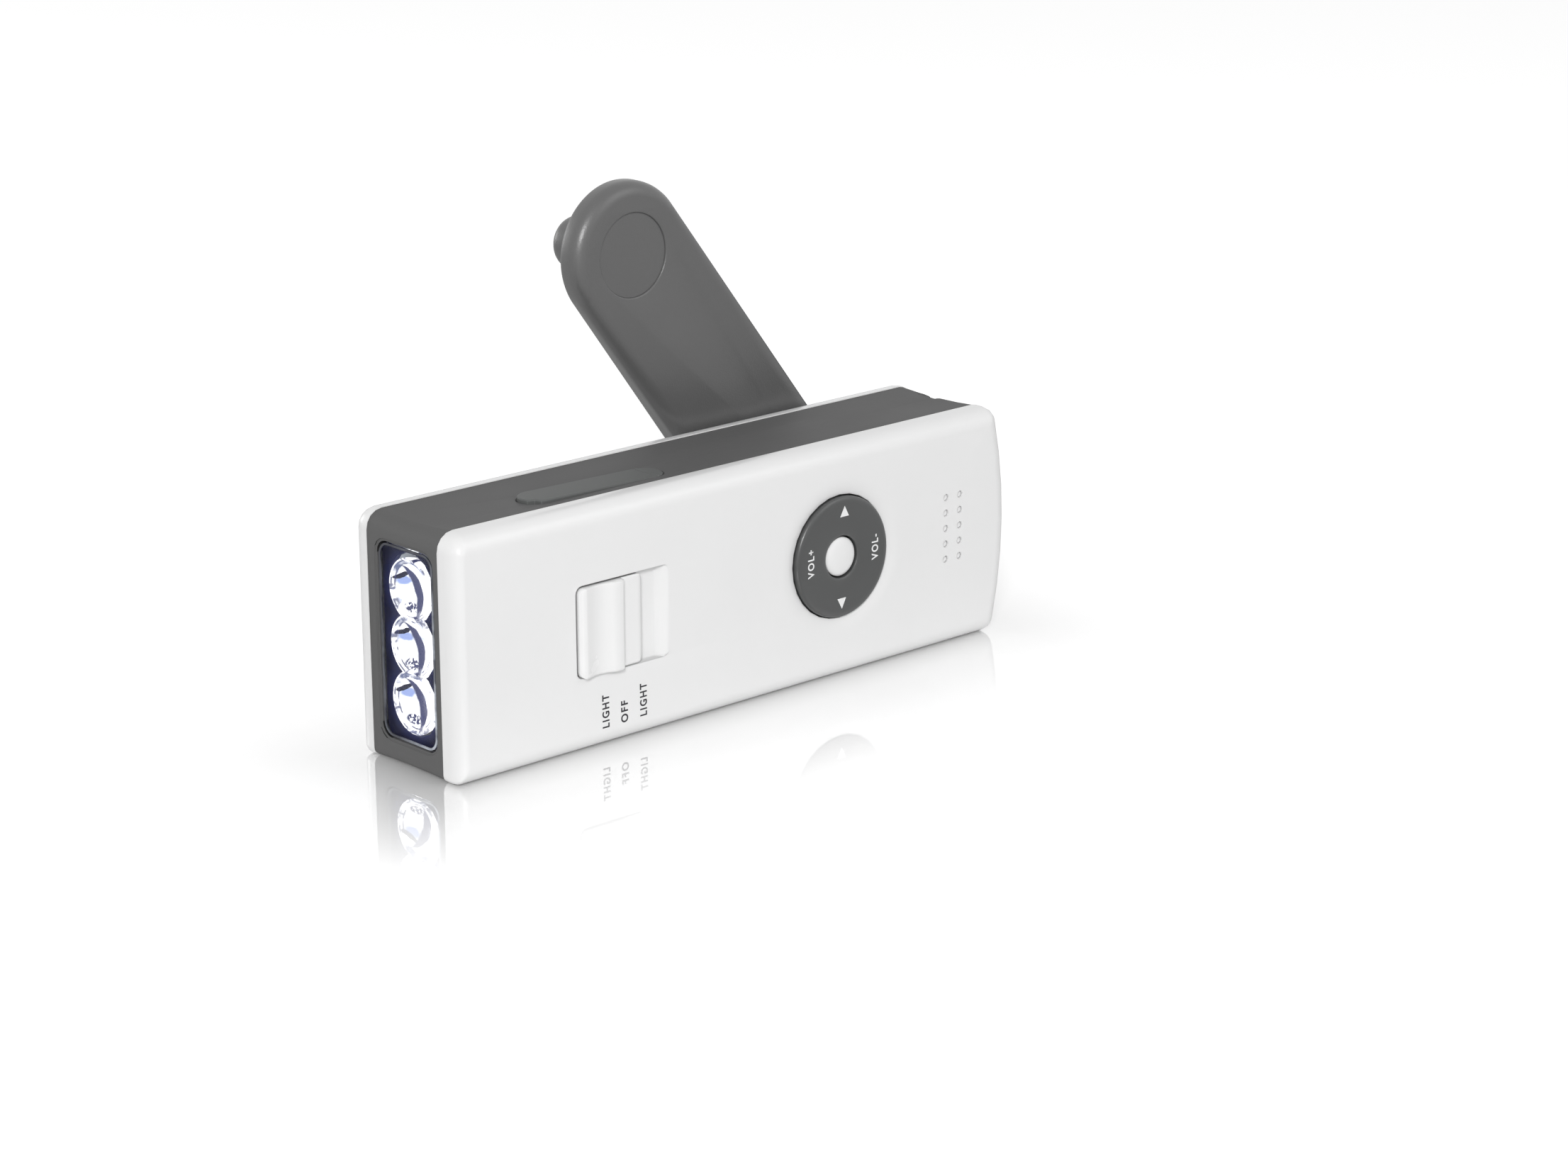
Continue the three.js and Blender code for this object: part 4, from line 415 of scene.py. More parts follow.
# fine woven cloth
cloth = {"thread": (0.84, 0.84, 0.82), "gap": (0.5, 0.5, 0.48), "threads": 2400}
material, tree, shader = newMaterial("white_clothFinish")
where = addNode(tree, "ShaderNodeTexCoord")
split = addNode(tree, "ShaderNodeSeparateXYZ")
link(tree, where.outputs["Object"], split.inputs[0])
weave = [math1(tree, "SINE", math1(tree, "MULTIPLY", split.outputs[way], cloth["threads"] * 2 * math.pi)) for way in ("X", "Z")]
crossing = math1(tree, "MULTIPLY", weave[0], weave[1])
link(tree, mixColour(tree, mapRange(tree, crossing, -1, 1, 0, 1), cloth["gap"], cloth["thread"]), shader.inputs["Base Color"])
shader.inputs["Roughness"].default_value = 0.9
bump = addNode(tree, "ShaderNodeBump")
bump.inputs["Distance"].default_value = 0.00004
link(tree, crossing, bump.inputs["Height"])
link(tree, bump.outputs["Normal"], shader.inputs["Normal"])
finishes["white_cloth"] = material


# printing ink, a little uneven at its scale
def inkFinish(name, colour):
    material, tree, shader = newMaterial(name)
    texture = placeGroup(tree, grain, Scale=5000, Patch_Scale=900)
    patches = mapRange(tree, texture.outputs["Tone"], 0.3, 0.7, 0, 1)
    link(tree, mixColour(tree, patches, [part * 0.93 for part in colour], colour), shader.inputs["Base Color"])
    link(tree, mapRange(tree, texture.outputs["Height"], 0.3, 0.7, 0.4, 0.55), shader.inputs["Roughness"])
    return material


darkInk = inkFinish("darkInk", (0.022, 0.02, 0.026))
whiteInk = inkFinish("whiteInk", (0.86, 0.86, 0.86))


def dress(piece, material):
    piece.data.materials.clear()
    piece.data.materials.append(material)


slotOf = {part["node"]: part["material_slot"] for part in frame["record"]["subparts"]}
for name, node in nodes.items():
    for index in range(len(node.material_slots)):
        node.material_slots[index].material = finishes[slotOf[name]]
print("finishes made:", len(finishes))

# ---- floor ----

floor = {"size": 12, "colour": (0.93, 0.93, 0.93), "bounce": (0.78, 0.78, 0.78), "lift": 0.4, "mirror": 0.66, "fadeStart": 0.0, "fadeEnd": 0.048}
clearSelection()
bpy.ops.mesh.primitive_plane_add(size=floor["size"], location=(0, 0, -0.00002))
ground = bpy.context.object
ground.name = "studioFloor"
material, tree, shader = newMaterial("floorFinish")
shader.inputs["Roughness"].default_value = 0.6
shader.inputs["Specular IOR Level"].default_value = 0
shader.inputs["Emission Color"].default_value = (1, 1, 1, 1)
path = addNode(tree, "ShaderNodeLightPath")
link(tree, math1(tree, "MULTIPLY", path.outputs["Is Camera Ray"], floor["lift"]), shader.inputs["Emission Strength"])
link(tree, mixColour(tree, path.outputs["Is Diffuse Ray"], floor["colour"], floor["bounce"]), shader.inputs["Base Color"])
gloss = addNode(tree, "ShaderNodeBsdfGlossy")
gloss.inputs["Roughness"].default_value = 0.004
blend = addNode(tree, "ShaderNodeMixShader")
where = addNode(tree, "ShaderNodeTexCoord")
split = addNode(tree, "ShaderNodeSeparateXYZ")
link(tree, where.outputs["Object"], split.inputs[0])
across = math1(tree, "SUBTRACT", math1(tree, "ABSOLUTE", math1(tree, "ADD", split.outputs["X"], 0.0)), 0.0675)
across = math1(tree, "MAXIMUM", across, 0)
along = math1(tree, "SUBTRACT", math1(tree, "ABSOLUTE", math1(tree, "SUBTRACT", split.outputs["Y"], 0.0099)), 0.0141)
along = math1(tree, "MAXIMUM", along, 0)
away = math1(tree, "SQRT", math1(tree, "ADD", math1(tree, "MULTIPLY", across, across), math1(tree, "MULTIPLY", along, along)))
fade = mapRange(tree, away, floor["fadeStart"], floor["fadeEnd"], floor["mirror"], 0)
link(tree, fade, blend.inputs["Fac"])
link(tree, shader.outputs["BSDF"], blend.inputs[1])
link(tree, gloss.outputs["BSDF"], blend.inputs[2])
link(tree, blend.outputs["Shader"], tree.nodes["Material Output"].inputs["Surface"])
dress(ground, material)
print("floor made")

# ---- smooth copies of the moulded casing parts ----

smoothCopies = {
    "front_cover": 40, "rear_cover": 40, "mid_frame": 40, "light_switch_slider": 32,
    "socket_cover": 40, "socket_cover_anchor": 40, "crank_hub": 40, "mode_switch_slider": 30, "light_mask": 30,
}


def smoothCopy(name, angle):
    node = nodes[name]
    piece = bpy.data.objects.new(name + "_moulded", node.data.copy())
    scene.collection.objects.link(piece)
    pick(piece)
    bpy.ops.object.mode_set(mode="EDIT")
    bpy.ops.mesh.select_all(action="SELECT")
    bpy.ops.mesh.remove_doubles(threshold=0.000002)
    bpy.ops.mesh.dissolve_limited(angle_limit=math.radians(0.4))
    bpy.ops.object.mode_set(mode="OBJECT")
    bpy.ops.object.shade_smooth_by_angle(angle=math.radians(angle))
    even = piece.modifiers.new("evenNormals", "WEIGHTED_NORMAL")
    even.keep_sharp = True
    even.weight = 100
    bpy.ops.object.modifier_apply(modifier="evenNormals")
    dress(piece, finishes[slotOf[name]])
    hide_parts(name)
    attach(piece, node["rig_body"])
    return piece


moulded = {name: smoothCopy(name, angle) for name, angle in smoothCopies.items()}
print("smooth copies made:", len(moulded))

# ---- turned pieces ----


# a profile of (radius, depth) in casing millimetres is drawn vertex by vertex and spun round a centre along an axis
def spunPiece(name, look, body="", slot="", replaced=()):
    alongX = look.get("axis") == "X"
    first, second = look["centre"]
    points = [spot(depth, first, second + radius) if alongX else spot(first + radius, depth, second) for radius, depth in look["profile"]]
    clearSelection()
    bpy.context.tool_settings.mesh_select_mode = (True, False, False)
    bpy.ops.mesh.primitive_plane_add(size=0.001, location=points[0])
    piece = bpy.context.object
    piece.name = name
    bpy.ops.object.mode_set(mode="EDIT")
    bpy.ops.mesh.select_all(action="SELECT")
    bpy.ops.mesh.merge(type="CENTER")
    for here, there in zip(points, points[1:]):
        bpy.ops.mesh.extrude_region_move(TRANSFORM_OT_translate={"value": there - here})
    bpy.ops.mesh.select_all(action="SELECT")
    centre = spot(0, first, second) if alongX else spot(first, 0, second)
    bpy.ops.mesh.spin(steps=look["steps"], angle=2 * math.pi, center=centre, axis=(1, 0, 0) if alongX else (0, 1, 0))
    bpy.ops.mesh.select_all(action="SELECT")
    bpy.ops.mesh.remove_doubles(threshold=0.000002)
    bpy.ops.mesh.normals_make_consistent(inside=False)
    bpy.ops.object.mode_set(mode="OBJECT")
    bpy.ops.object.transform_apply(location=True, rotation=True, scale=True)
    bpy.ops.object.shade_smooth_by_angle(angle=math.radians(look.get("smooth", 35)))
    if body:
        finishPiece(piece, body, slot, replaced)
    return piece


def finishPiece(piece, body, slot, replaced=()):
    dress(piece, finishes[slot])
    if replaced:
        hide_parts(*replaced)
    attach(piece, body)


# points of a rounded corner between two ends, for a profile
def rounded(middle, radius, start, end, steps=5):
    turns = [math.radians(start + (end - start) * i / steps) for i in range(steps + 1)]
    return [(middle[0] + radius * math.cos(a), middle[1] + radius * math.sin(a)) for a in turns]


tuningPad = {
    "centre": (90.3, 23.6), "steps": 120,
    "profile": [
        (4.05, 4.1), (4.05, 0.15), (4.12, -0.02), (4.3, -0.12), (4.65, -0.19), (5.2, -0.26), (6.0, -0.33), (7.0, -0.4),
        (8.1, -0.445), (9.2, -0.475), (9.95, -0.49), (10.45, -0.495), (10.87, -0.46), (11.18, -0.38), (11.41, -0.25),
        (11.55, -0.08), (11.6, 0.15), (11.6, 2.6), (12.6, 2.6), (12.6, 3.3), (4.05, 3.3),
    ],
}
tuningPad["profile"] = tuningPad["profile"][1:] + [tuningPad["profile"][1]]
spunPiece("tuningPadFace", tuningPad, "tuning_pad", "pad_plastic", ["tuning_pad"])

centreButton = {
    "centre": (90.3, 23.6), "steps": 96,
    "profile": [(0, -0.35), (0.8, -0.335), (1.5, -0.3), (2.1, -0.24), (2.6, -0.16), (3.0, -0.06), (3.3, 0.06), (3.5, 0.2),
                (3.71, 0.38), (3.75, 0.6), (3.75, 3.6), (4.3, 3.6), (4.3, 4.2), (1.5, 4.2), (1.5, 5.0), (0, 5.0)],
}
spunPiece("centreButtonCap", centreButton, "centre_button", "white_plastic", ["centre_button"])

crankKnob = {
    "centre": (65.71, 79.682), "steps": 96, "smooth": 45,
    "profile": [(1.75, 34.8), (3.9, 34.8), (4.12, 34.9), (4.2, 35.1), (4.02, 35.4), (3.82, 35.75), (3.7, 36.15), (3.74, 36.8),
                (3.9, 37.8), (4.15, 38.9), (4.45, 40.1), (4.72, 41.3), (4.93, 42.4), (5.05, 43.5), (5.1, 44.5)]
    + rounded((2.9, 45.4), 2.2, 0, 90, 8) + [(0, 47.6), (0, 42.5), (1.75, 42.5), (1.75, 34.8)],
}
knobGrip = spunPiece("crankKnobGrip", crankKnob, "crank_knob", "dark_plastic", ["crank_knob"])

armCap = {
    "centre": (65.71, 79.682), "steps": 128,
    "profile": [(0, 29.62), (7.845, 29.62), (7.845, 30.65), (0, 30.65)],
}
armDisc = spunPiece("armCapDisc", armCap, "crank_arm", "dark_plastic", ["arm_cap"])
print("turned pieces made")

# ---- crank arm ----


# a box between two corners in casing millimetres
def newBox(low, high):
    clearSelection()
    bpy.ops.mesh.primitive_cube_add(size=1, location=(spot(*low) + spot(*high)) / 2)
    piece = bpy.context.object
    piece.scale = spot(*high) - spot(*low)
    bpy.ops.object.transform_apply(location=True, rotation=True, scale=True)
    return piece


def newRod(low, high, radius, steps=64):
    clearSelection()
    way = spot(*high) - spot(*low)
    turn = way.to_track_quat("Z", "Y").to_euler()
    bpy.ops.mesh.primitive_cylinder_add(
        vertices=steps, radius=radius / 1000, depth=way.length, location=(spot(*low) + spot(*high)) / 2, rotation=turn
    )
    bpy.ops.object.transform_apply(location=True, rotation=True, scale=True)
    return bpy.context.object


# cuts tools out of a piece, or joins them to it
def combine(piece, tools, operation="DIFFERENCE"):
    for tool in tools:
        pick(piece)
        step = piece.modifiers.new("combine", "BOOLEAN")
        step.operation = operation
        step.object = tool
        step.solver = "EXACT"
        bpy.ops.object.modifier_apply(modifier="combine")
        bpy.data.objects.remove(tool)


# bevels the edges for which the test holds; the test gets both ends in casing millimetres
def bevelEdges(piece, test, radius, segments):
    pick(piece)
    bpy.ops.object.mode_set(mode="EDIT")
    bpy.ops.mesh.select_all(action="DESELECT")
    bpy.ops.object.mode_set(mode="OBJECT")
    bpy.context.tool_settings.mesh_select_mode = (False, True, False)
    data = piece.data
    places = [(v.co.x * 1000 + 66.1, v.co.y * 1000 + 4.2, v.co.z * 1000) for v in data.vertices]
    for edge in data.edges:
        edge.select = test(*(places[i] for i in edge.vertices))
    bpy.ops.object.mode_set(mode="EDIT")
    bpy.ops.mesh.bevel(offset=radius / 1000, segments=segments, profile=0.5, affect="EDGES", clamp_overlap=False)
    bpy.ops.mesh.select_all(action="SELECT")
    bpy.ops.mesh.remove_doubles(threshold=0.000002)
    bpy.ops.object.mode_set(mode="OBJECT")


def near(a, b, slack=0.02):
    return abs(a - b) < slack


crankArm = {
    "hub": (108.8, 22.5), "angle": 127, "length": 71.6, "width": 27.1, "front": 29.3, "back": 34.5,
    "frontEdge": 2.7, "backEdge": 1.0, "edgeSteps": 8, "endSteps": 72,
    "slot": 9.6, "slotDepth": 2.9, "pinHole": 1.4, "capHole": 7.85, "capEdge": 0.3, "capSeat": 30.65, "axleHole": 1.75,
}
hubX, hubZ = crankArm["hub"]
front, back = crankArm["front"], crankArm["back"]
half, ear = crankArm["width"] / 2, (back - front) / 2
start, end = hubX - ear, hubX + crankArm["length"] + half
armPlate = newBox((start, front, hubZ - half), (end, back, hubZ + half))
bevelEdges(armPlate, lambda a, b: near(a[0], end) and near(b[0], end) and near(a[2], b[2]), half - 0.0005, crankArm["endSteps"] // 2)
bevelEdges(armPlate, lambda a, b: near(a[0], start) and near(b[0], start) and near(a[1], b[1]), ear - 0.01, crankArm["edgeSteps"])
sideStart = hubX
bevelEdges(
    armPlate,
    lambda a, b: near(a[1], front) and near(b[1], front) and not (near(a[0], b[0]) and a[0] < hubX + 1),
    crankArm["frontEdge"], crankArm["edgeSteps"],
)
bevelEdges(
    armPlate,
    lambda a, b: near(a[1], back) and near(b[1], back) and not (near(a[0], b[0]) and a[0] < hubX + 1),
    crankArm["backEdge"], crankArm["edgeSteps"] // 2,
)
knobX, slotHalf = hubX + crankArm["length"], crankArm["slot"] / 2
combine(armPlate, [
    newBox((start - 1, front - 1, hubZ - slotHalf), (hubX + crankArm["slotDepth"], back + 1, hubZ + slotHalf)),
    newRod((hubX, front + ear, hubZ - half - 1), (hubX, front + ear, hubZ + half + 1), crankArm["pinHole"]),
    newRod((knobX, front - 1, hubZ), (knobX, crankArm["capSeat"], hubZ), crankArm["capHole"], 128),
    newRod((knobX, front, hubZ), (knobX, back + 1, hubZ), crankArm["axleHole"]),
])
bevelEdges(
    armPlate,
    lambda a, b: near(a[1], front) and near(b[1], front)
    and all(near(math.hypot(c[0] - knobX, c[2] - hubZ), crankArm["capHole"], 0.03) for c in (a, b)),
    crankArm["capEdge"], 3,
)
turn = Matrix.Translation(spot(hubX, 0, hubZ)) @ Matrix.Rotation(-math.radians(crankArm["angle"]), 4, "Y") @ Matrix.Translation(-spot(hubX, 0, hubZ))
armPlate.data.transform(turn)
armPlate.name = "crankArmPlate"
pick(armPlate)
bpy.ops.object.shade_smooth_by_angle(angle=math.radians(35))
finishPiece(armPlate, "crank_arm", "dark_plastic", ["crank_arm"])
for piece in (armPlate, armDisc, knobGrip):
    dress(piece, finishes["arm_plastic"])
print("crank arm made")

# ---- socket cover ----

# the rubber cover rises toward its free end, and both of its parts get soft edges
coverLift = {"top": 44.8, "rise": 0.5, "hinge": 52, "edge": 0.24, "segments": 3}
for name in ("socket_cover", "socket_cover_anchor"):
    flap = moulded[name]
    pick(flap)
    bpy.context.tool_settings.mesh_select_mode = (True, False, False)
    bpy.ops.object.mode_set(mode="EDIT")
    bpy.ops.mesh.select_all(action="DESELECT")
    bpy.ops.object.mode_set(mode="OBJECT")
    for vertex in flap.data.vertices:
        onTop = near(vertex.co.z * 1000, coverLift["top"], 0.1)
        vertex.select = onTop and vertex.co.x < spot(coverLift["hinge"], 0, 0).x
    bpy.ops.object.mode_set(mode="EDIT")
    bpy.ops.transform.translate(value=(0, 0, coverLift["rise"] / 1000))
    bpy.ops.mesh.customdata_custom_splitnormals_clear()
    bpy.ops.object.mode_set(mode="OBJECT")
    lowest = coverLift["top"] - 0.1
    bevelEdges(flap, lambda a, b: a[2] > lowest and b[2] > lowest, coverLift["edge"], coverLift["segments"])
    pick(flap)
    bpy.ops.object.shade_smooth_by_angle(angle=math.radians(35))
print("socket cover raised")

# ---- light window ----

lampOptics = {
    "axis": "X", "centreY": 15.05, "centres": (11.875, 22.1, 32.325), "steps": 96,
    "profile": [
        (0, 3.3), (1.5, 3.22), (3.0, 2.95), (4.2, 2.54), (5.0, 2.14), (5.3, 1.94), (5.45, 1.82), (5.6, 1.76), (5.74, 1.8),
        (5.82, 1.95), (5.8, 2.5), (5.5, 3.7), (5.1, 5.1), (4.6, 6.8), (3.9, 9.4), (3.3, 9.4), (3.3, 4.1), (0, 3.74),
    ],
}
# the optic glows by emission with painted light: painted white where the lamp's light gathers, painted pale veils and
# a pale patch, and painted dark reflections as a crescent, a bar, a speckled spot and streaks
opticPaintedLight = {
    "pitch": 10.225, "white": (1, 1, 1), "pale": (0.26, 0.33, 0.58), "navy": (0.032, 0.036, 0.1), "black": (0.006, 0.007, 0.02), "shade": (0.08, 0.1, 0.2),
    "strength": 1.3, "warp": 0.0009, "warpScale": 420,
    # centre (y, z) and half size (y, z) from a lamp's axis in millimetres, tilt in degrees
    "patch": ((2.7, 1.1), (1.9, 0.9), -12), "bar": ((3.3, 2.0), (1.9, 0.45), -25), "spot": ((0.9, -3.4), (2.0, 0.95), 0),
    "crescentOuter": ((3.52, -1.9), (5.97, 5.97), 0), "crescentInner": ((20.6, -8.7), (22, 22), 0),
}
material, tree, shader = newMaterial("lampOpticPaintedGlow")
where = addNode(tree, "ShaderNodeTexCoord")
split = addNode(tree, "ShaderNodeSeparateXYZ")
link(tree, where.outputs["Object"], split.inputs[0])
middle = spot(0, lampOptics["centreY"], lampOptics["centres"][1])
across = math1(tree, "SUBTRACT", split.outputs["Y"], middle.y)
upright = addNode(tree, "ShaderNodeMath", operation="WRAP")
link(tree, math1(tree, "SUBTRACT", split.outputs["Z"], middle.z), upright.inputs[0])
upright.inputs[1].default_value = opticPaintedLight["pitch"] / 2000
upright.inputs[2].default_value = -opticPaintedLight["pitch"] / 2000
local = addNode(tree, "ShaderNodeCombineXYZ")
link(tree, across, local.inputs["Y"])
link(tree, upright.outputs[0], local.inputs["Z"])
ripple = addNode(tree, "ShaderNodeTexNoise")
ripple.inputs["Scale"].default_value = opticPaintedLight["warpScale"]
ripple.inputs["Detail"].default_value = 3
link(tree, where.outputs["Object"], ripple.inputs["Vector"])
shift = addNode(tree, "ShaderNodeVectorMath", operation="SUBTRACT")
link(tree, ripple.outputs["Color"], shift.inputs[0])
shift.inputs[1].default_value = (0.5, 0.5, 0.5)
bent = addNode(tree, "ShaderNodeVectorMath", operation="MULTIPLY_ADD")
link(tree, shift.outputs[0], bent.inputs[0])
bent.inputs[1].default_value = (0, opticPaintedLight["warp"], opticPaintedLight["warp"])
link(tree, local.outputs[0], bent.inputs[2])


def blob(shape, low=0.94, high=1.06):
    (y, z), (wide, tall), tilt = shape
    mapping = addNode(tree, "ShaderNodeMapping", vector_type="TEXTURE")
    mapping.inputs["Location"].default_value = (0, y / 1000, z / 1000)
    mapping.inputs["Rotation"].default_value = (math.radians(tilt), 0, 0)
    mapping.inputs["Scale"].default_value = (1, wide / 1000, tall / 1000)
    link(tree, bent.outputs[0], mapping.inputs["Vector"])
    size = addNode(tree, "ShaderNodeVectorMath", operation="LENGTH")
    link(tree, mapping.outputs[0], size.inputs[0])
    return mapRange(tree, size.outputs["Value"], low, high, 1, 0)


speckle = addNode(tree, "ShaderNodeTexNoise")
speckle.inputs["Scale"].default_value = 1900
speckle.inputs["Detail"].default_value = 4
link(tree, where.outputs["Object"], speckle.inputs["Vector"])
veil = addNode(tree, "ShaderNodeTexNoise")
veil.inputs["Scale"].default_value = 300
veil.inputs["Detail"].default_value = 5
veil.inputs["Distortion"].default_value = 1.5
link(tree, where.outputs["Object"], veil.inputs["Vector"])
glow = mixColour(tree, mapRange(tree, veil.outputs["Fac"], 0.56, 0.7, 0, 0.6), opticPaintedLight["white"], opticPaintedLight["pale"])
glow = mixColour(tree, blob(opticPaintedLight["patch"], 0.7, 1.2), glow, opticPaintedLight["pale"])
glow = mixColour(tree, blob(opticPaintedLight["bar"]), glow, opticPaintedLight["black"])
# painted reflection: a speckled navy spot
rough = math1(tree, "MULTIPLY", blob(opticPaintedLight["spot"], 0.8, 1.1), mapRange(tree, speckle.outputs["Fac"], 0.5, 0.56, 1, 0))
glow = mixColour(tree, rough, glow, opticPaintedLight["navy"])
outside = math1(tree, "SUBTRACT", 1.0, blob(opticPaintedLight["crescentInner"], 0.985, 1.005))
paintedCrescent = math1(tree, "MULTIPLY", blob(opticPaintedLight["crescentOuter"], 0.97, 1.01), outside)
glow = mixColour(tree, paintedCrescent, glow, opticPaintedLight["navy"])
distance = addNode(tree, "ShaderNodeVectorMath", operation="LENGTH")
link(tree, local.outputs[0], distance.inputs[0])
# painted reflections: navy streaks and two thin broken rings round each lamp
band = mapRange(tree, distance.outputs["Value"], 0.0043, 0.0048, 0, 1)
streak = math1(tree, "MULTIPLY", band, mapRange(tree, veil.outputs["Fac"], 0.52, 0.62, 0, 0.8))
for ring, low in ((0.00475, 0.4), (0.00535, 0.43)):
    line = math1(tree, "ABSOLUTE", math1(tree, "SUBTRACT", distance.outputs["Value"], ring))
    line = math1(tree, "MULTIPLY", mapRange(tree, line, 0.00006, 0.00018, 1, 0), mapRange(tree, ripple.outputs["Fac"], low, low + 0.1, 0, 0.9))
    streak = math1(tree, "MAXIMUM", streak, line)
glow = mixColour(tree, streak, glow, opticPaintedLight["navy"])
# painted shade on the upper rim: a dark painted band between bright lines, standing in for the dark seen through the
# glassy rim
paintedRimShade = math1(tree, "MULTIPLY", mapRange(tree, distance.outputs["Value"], 0.0045, 0.0049, 0, 1), mapRange(tree, distance.outputs["Value"], 0.0053, 0.0056, 1, 0))
paintedRimShade = math1(tree, "MULTIPLY", paintedRimShade, mapRange(tree, upright.outputs[0], 0.0015, 0.0035, 0, 1))
paintedRimShade = math1(tree, "MULTIPLY", paintedRimShade, mapRange(tree, veil.outputs["Fac"], 0.4, 0.56, 0.3, 0.85))
glow = mixColour(tree, paintedRimShade, glow, opticPaintedLight["shade"])
dimmed = addNode(tree, "ShaderNodeMix", data_type="RGBA")
dimmed.inputs["Factor"].default_value = 0.8
link(tree, glow, dimmed.inputs["A"])
dimmed.inputs["B"].default_value = (0.01, 0.01, 0.02, 1)
# the painted colour is also the emission, so the optic glows though it is no lamp
link(tree, dimmed.outputs["Result"], shader.inputs["Base Color"])
link(tree, glow, shader.inputs["Emission Color"])
shader.inputs["Emission Strength"].default_value = opticPaintedLight["strength"]
shader.inputs["Roughness"].default_value = 0.1

cups = []
for index, level in enumerate(lampOptics["centres"]):
    cups.append(spunPiece(f"lampOptic{index + 1}", {**lampOptics, "centre": (lampOptics["centreY"], level)}))
combine(cups[0], cups[1:], "UNION")
optics = cups[0]
optics.name = "lampOptics"
pick(optics)
bpy.ops.object.shade_smooth_by_angle(angle=math.radians(35))
dress(optics, material)
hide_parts("reflector")
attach(optics, "casing")


# the mask round the lamps gets a painted soft blue halo: emission that stands in for the lamps' light on it
paintedHalo = {"front": 2.0, "near": 0.0056, "far": 0.0078, "colour": (0.012, 0.015, 0.055), "dark": (0.002, 0.002, 0.006)}
maskWithPaintedHalo = finishes["navy_plastic"].copy()
maskWithPaintedHalo.name = "lampMaskPaintedHalo"
tree = maskWithPaintedHalo.node_tree
where = addNode(tree, "ShaderNodeTexCoord")
nearest = None
for level in lampOptics["centres"]:
    gap = addNode(tree, "ShaderNodeVectorMath", operation="DISTANCE")
    link(tree, where.outputs["Object"], gap.inputs[0])
    gap.inputs[1].default_value = spot(paintedHalo["front"], lampOptics["centreY"], level)
    nearest = math1(tree, "MINIMUM", nearest, gap.outputs["Value"]) if nearest else gap.outputs["Value"]
paintedHaloGlow = mapRange(tree, nearest, paintedHalo["near"], paintedHalo["far"], 1, 0)
shader = tree.nodes["Principled BSDF"]
# painted light: emission brightest near each lamp
link(tree, mixColour(tree, paintedHaloGlow, paintedHalo["dark"], paintedHalo["colour"]), shader.inputs["Emission Color"])
shader.inputs["Emission Strength"].default_value = 1
dress(moulded["light_mask"], maskWithPaintedHalo)
dress(moulded["light_switch_slider"], finishes["slide_plastic"])


# a rounded plate facing the light end, between two depths
def roundedPlate(name, y, z, x, radius, steps):
    piece = newBox((x[0], y[0], z[0]), (x[1], y[1], z[1]))
    piece.name = name
    bevelEdges(piece, lambda a, b: near(a[1], b[1]) and near(a[2], b[2]), radius, steps)
    return piece


windowPane = {"y": (7.15, 22.15), "z": (4.85, 40.15), "x": (0.75, 1.7), "radius": 2.5, "steps": 10, "rim": 0.42, "rimX": (0.52, 0.74)}
pane = roundedPlate("windowPane", windowPane["y"], windowPane["z"], windowPane["x"], windowPane["radius"], windowPane["steps"])
bpy.ops.object.shade_smooth_by_angle(angle=math.radians(35))
finishPiece(pane, "casing", "clear_plastic", ["window_lens"])
rimWide = windowPane["rim"]
rim = roundedPlate("windowPaneEdge", windowPane["y"], windowPane["z"], windowPane["rimX"], windowPane["radius"], windowPane["steps"])
inner = roundedPlate(
    "inner", [windowPane["y"][0] + rimWide, windowPane["y"][1] - rimWide], [windowPane["z"][0] + rimWide, windowPane["z"][1] - rimWide],
    (windowPane["rimX"][0] - 1, windowPane["rimX"][1] + 1), windowPane["radius"] - rimWide, windowPane["steps"],
)
combine(rim, [inner])
pick(rim)
bpy.ops.object.shade_smooth_by_angle(angle=math.radians(35))

# the cut edge of the clear pane, with a painted highlight on part of it and painted shade on the rest
paintedEdgeColours = {"bright": (0.5, 0.54, 0.6), "dark": (0.03, 0.032, 0.045), "scale": 240}
material, tree, shader = newMaterial("paneEdgePaintedHighlight")
where = addNode(tree, "ShaderNodeTexCoord")
paintedGlints = addNode(tree, "ShaderNodeTexNoise")
paintedGlints.inputs["Scale"].default_value = paintedEdgeColours["scale"]
paintedGlints.inputs["Detail"].default_value = 5
link(tree, where.outputs["Object"], paintedGlints.inputs["Vector"])
split = addNode(tree, "ShaderNodeSeparateXYZ")
link(tree, where.outputs["Object"], split.inputs[0])
# painted highlight and shade: brighter towards the front side and the bottom, broken by painted glints
paintedEdgeLight = mapRange(tree, split.outputs["Y"], 0.004, 0.014, 1, 0.12)
paintedEdgeLight = math1(tree, "MULTIPLY", paintedEdgeLight, mapRange(tree, paintedGlints.outputs["Fac"], 0.4, 0.6, 0.2, 1))
paintedEdgeLight = math1(tree, "MULTIPLY", paintedEdgeLight, mapRange(tree, split.outputs["Z"], 0.02, 0.036, 1, 0.25))
link(tree, mixColour(tree, paintedEdgeLight, paintedEdgeColours["dark"], paintedEdgeColours["bright"]), shader.inputs["Base Color"])
shader.inputs["Roughness"].default_value = 0.12
dress(rim, material)
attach(rim, "casing")

# painted shade: the faces of the window opening's wall get the black material, standing in for the shade of the deep
# recess
opening = {"x": 2.1, "y": (6.8, 22.5), "z": (4.5, 40.5)}
frameCopy = moulded["mid_frame"]
frameCopy.data.materials.append(finishes["black_plastic"])
for face in frameCopy.data.polygons:
    middle = face.center * 1000 + Vector((66.1, 4.2, 0))
    inside = opening["y"][0] < middle.y < opening["y"][1] and opening["z"][0] < middle.z < opening["z"][1]
    if middle.x < opening["x"] and inside and abs(face.normal.x) < 0.6:
        face.material_index = 1
print("light window made")

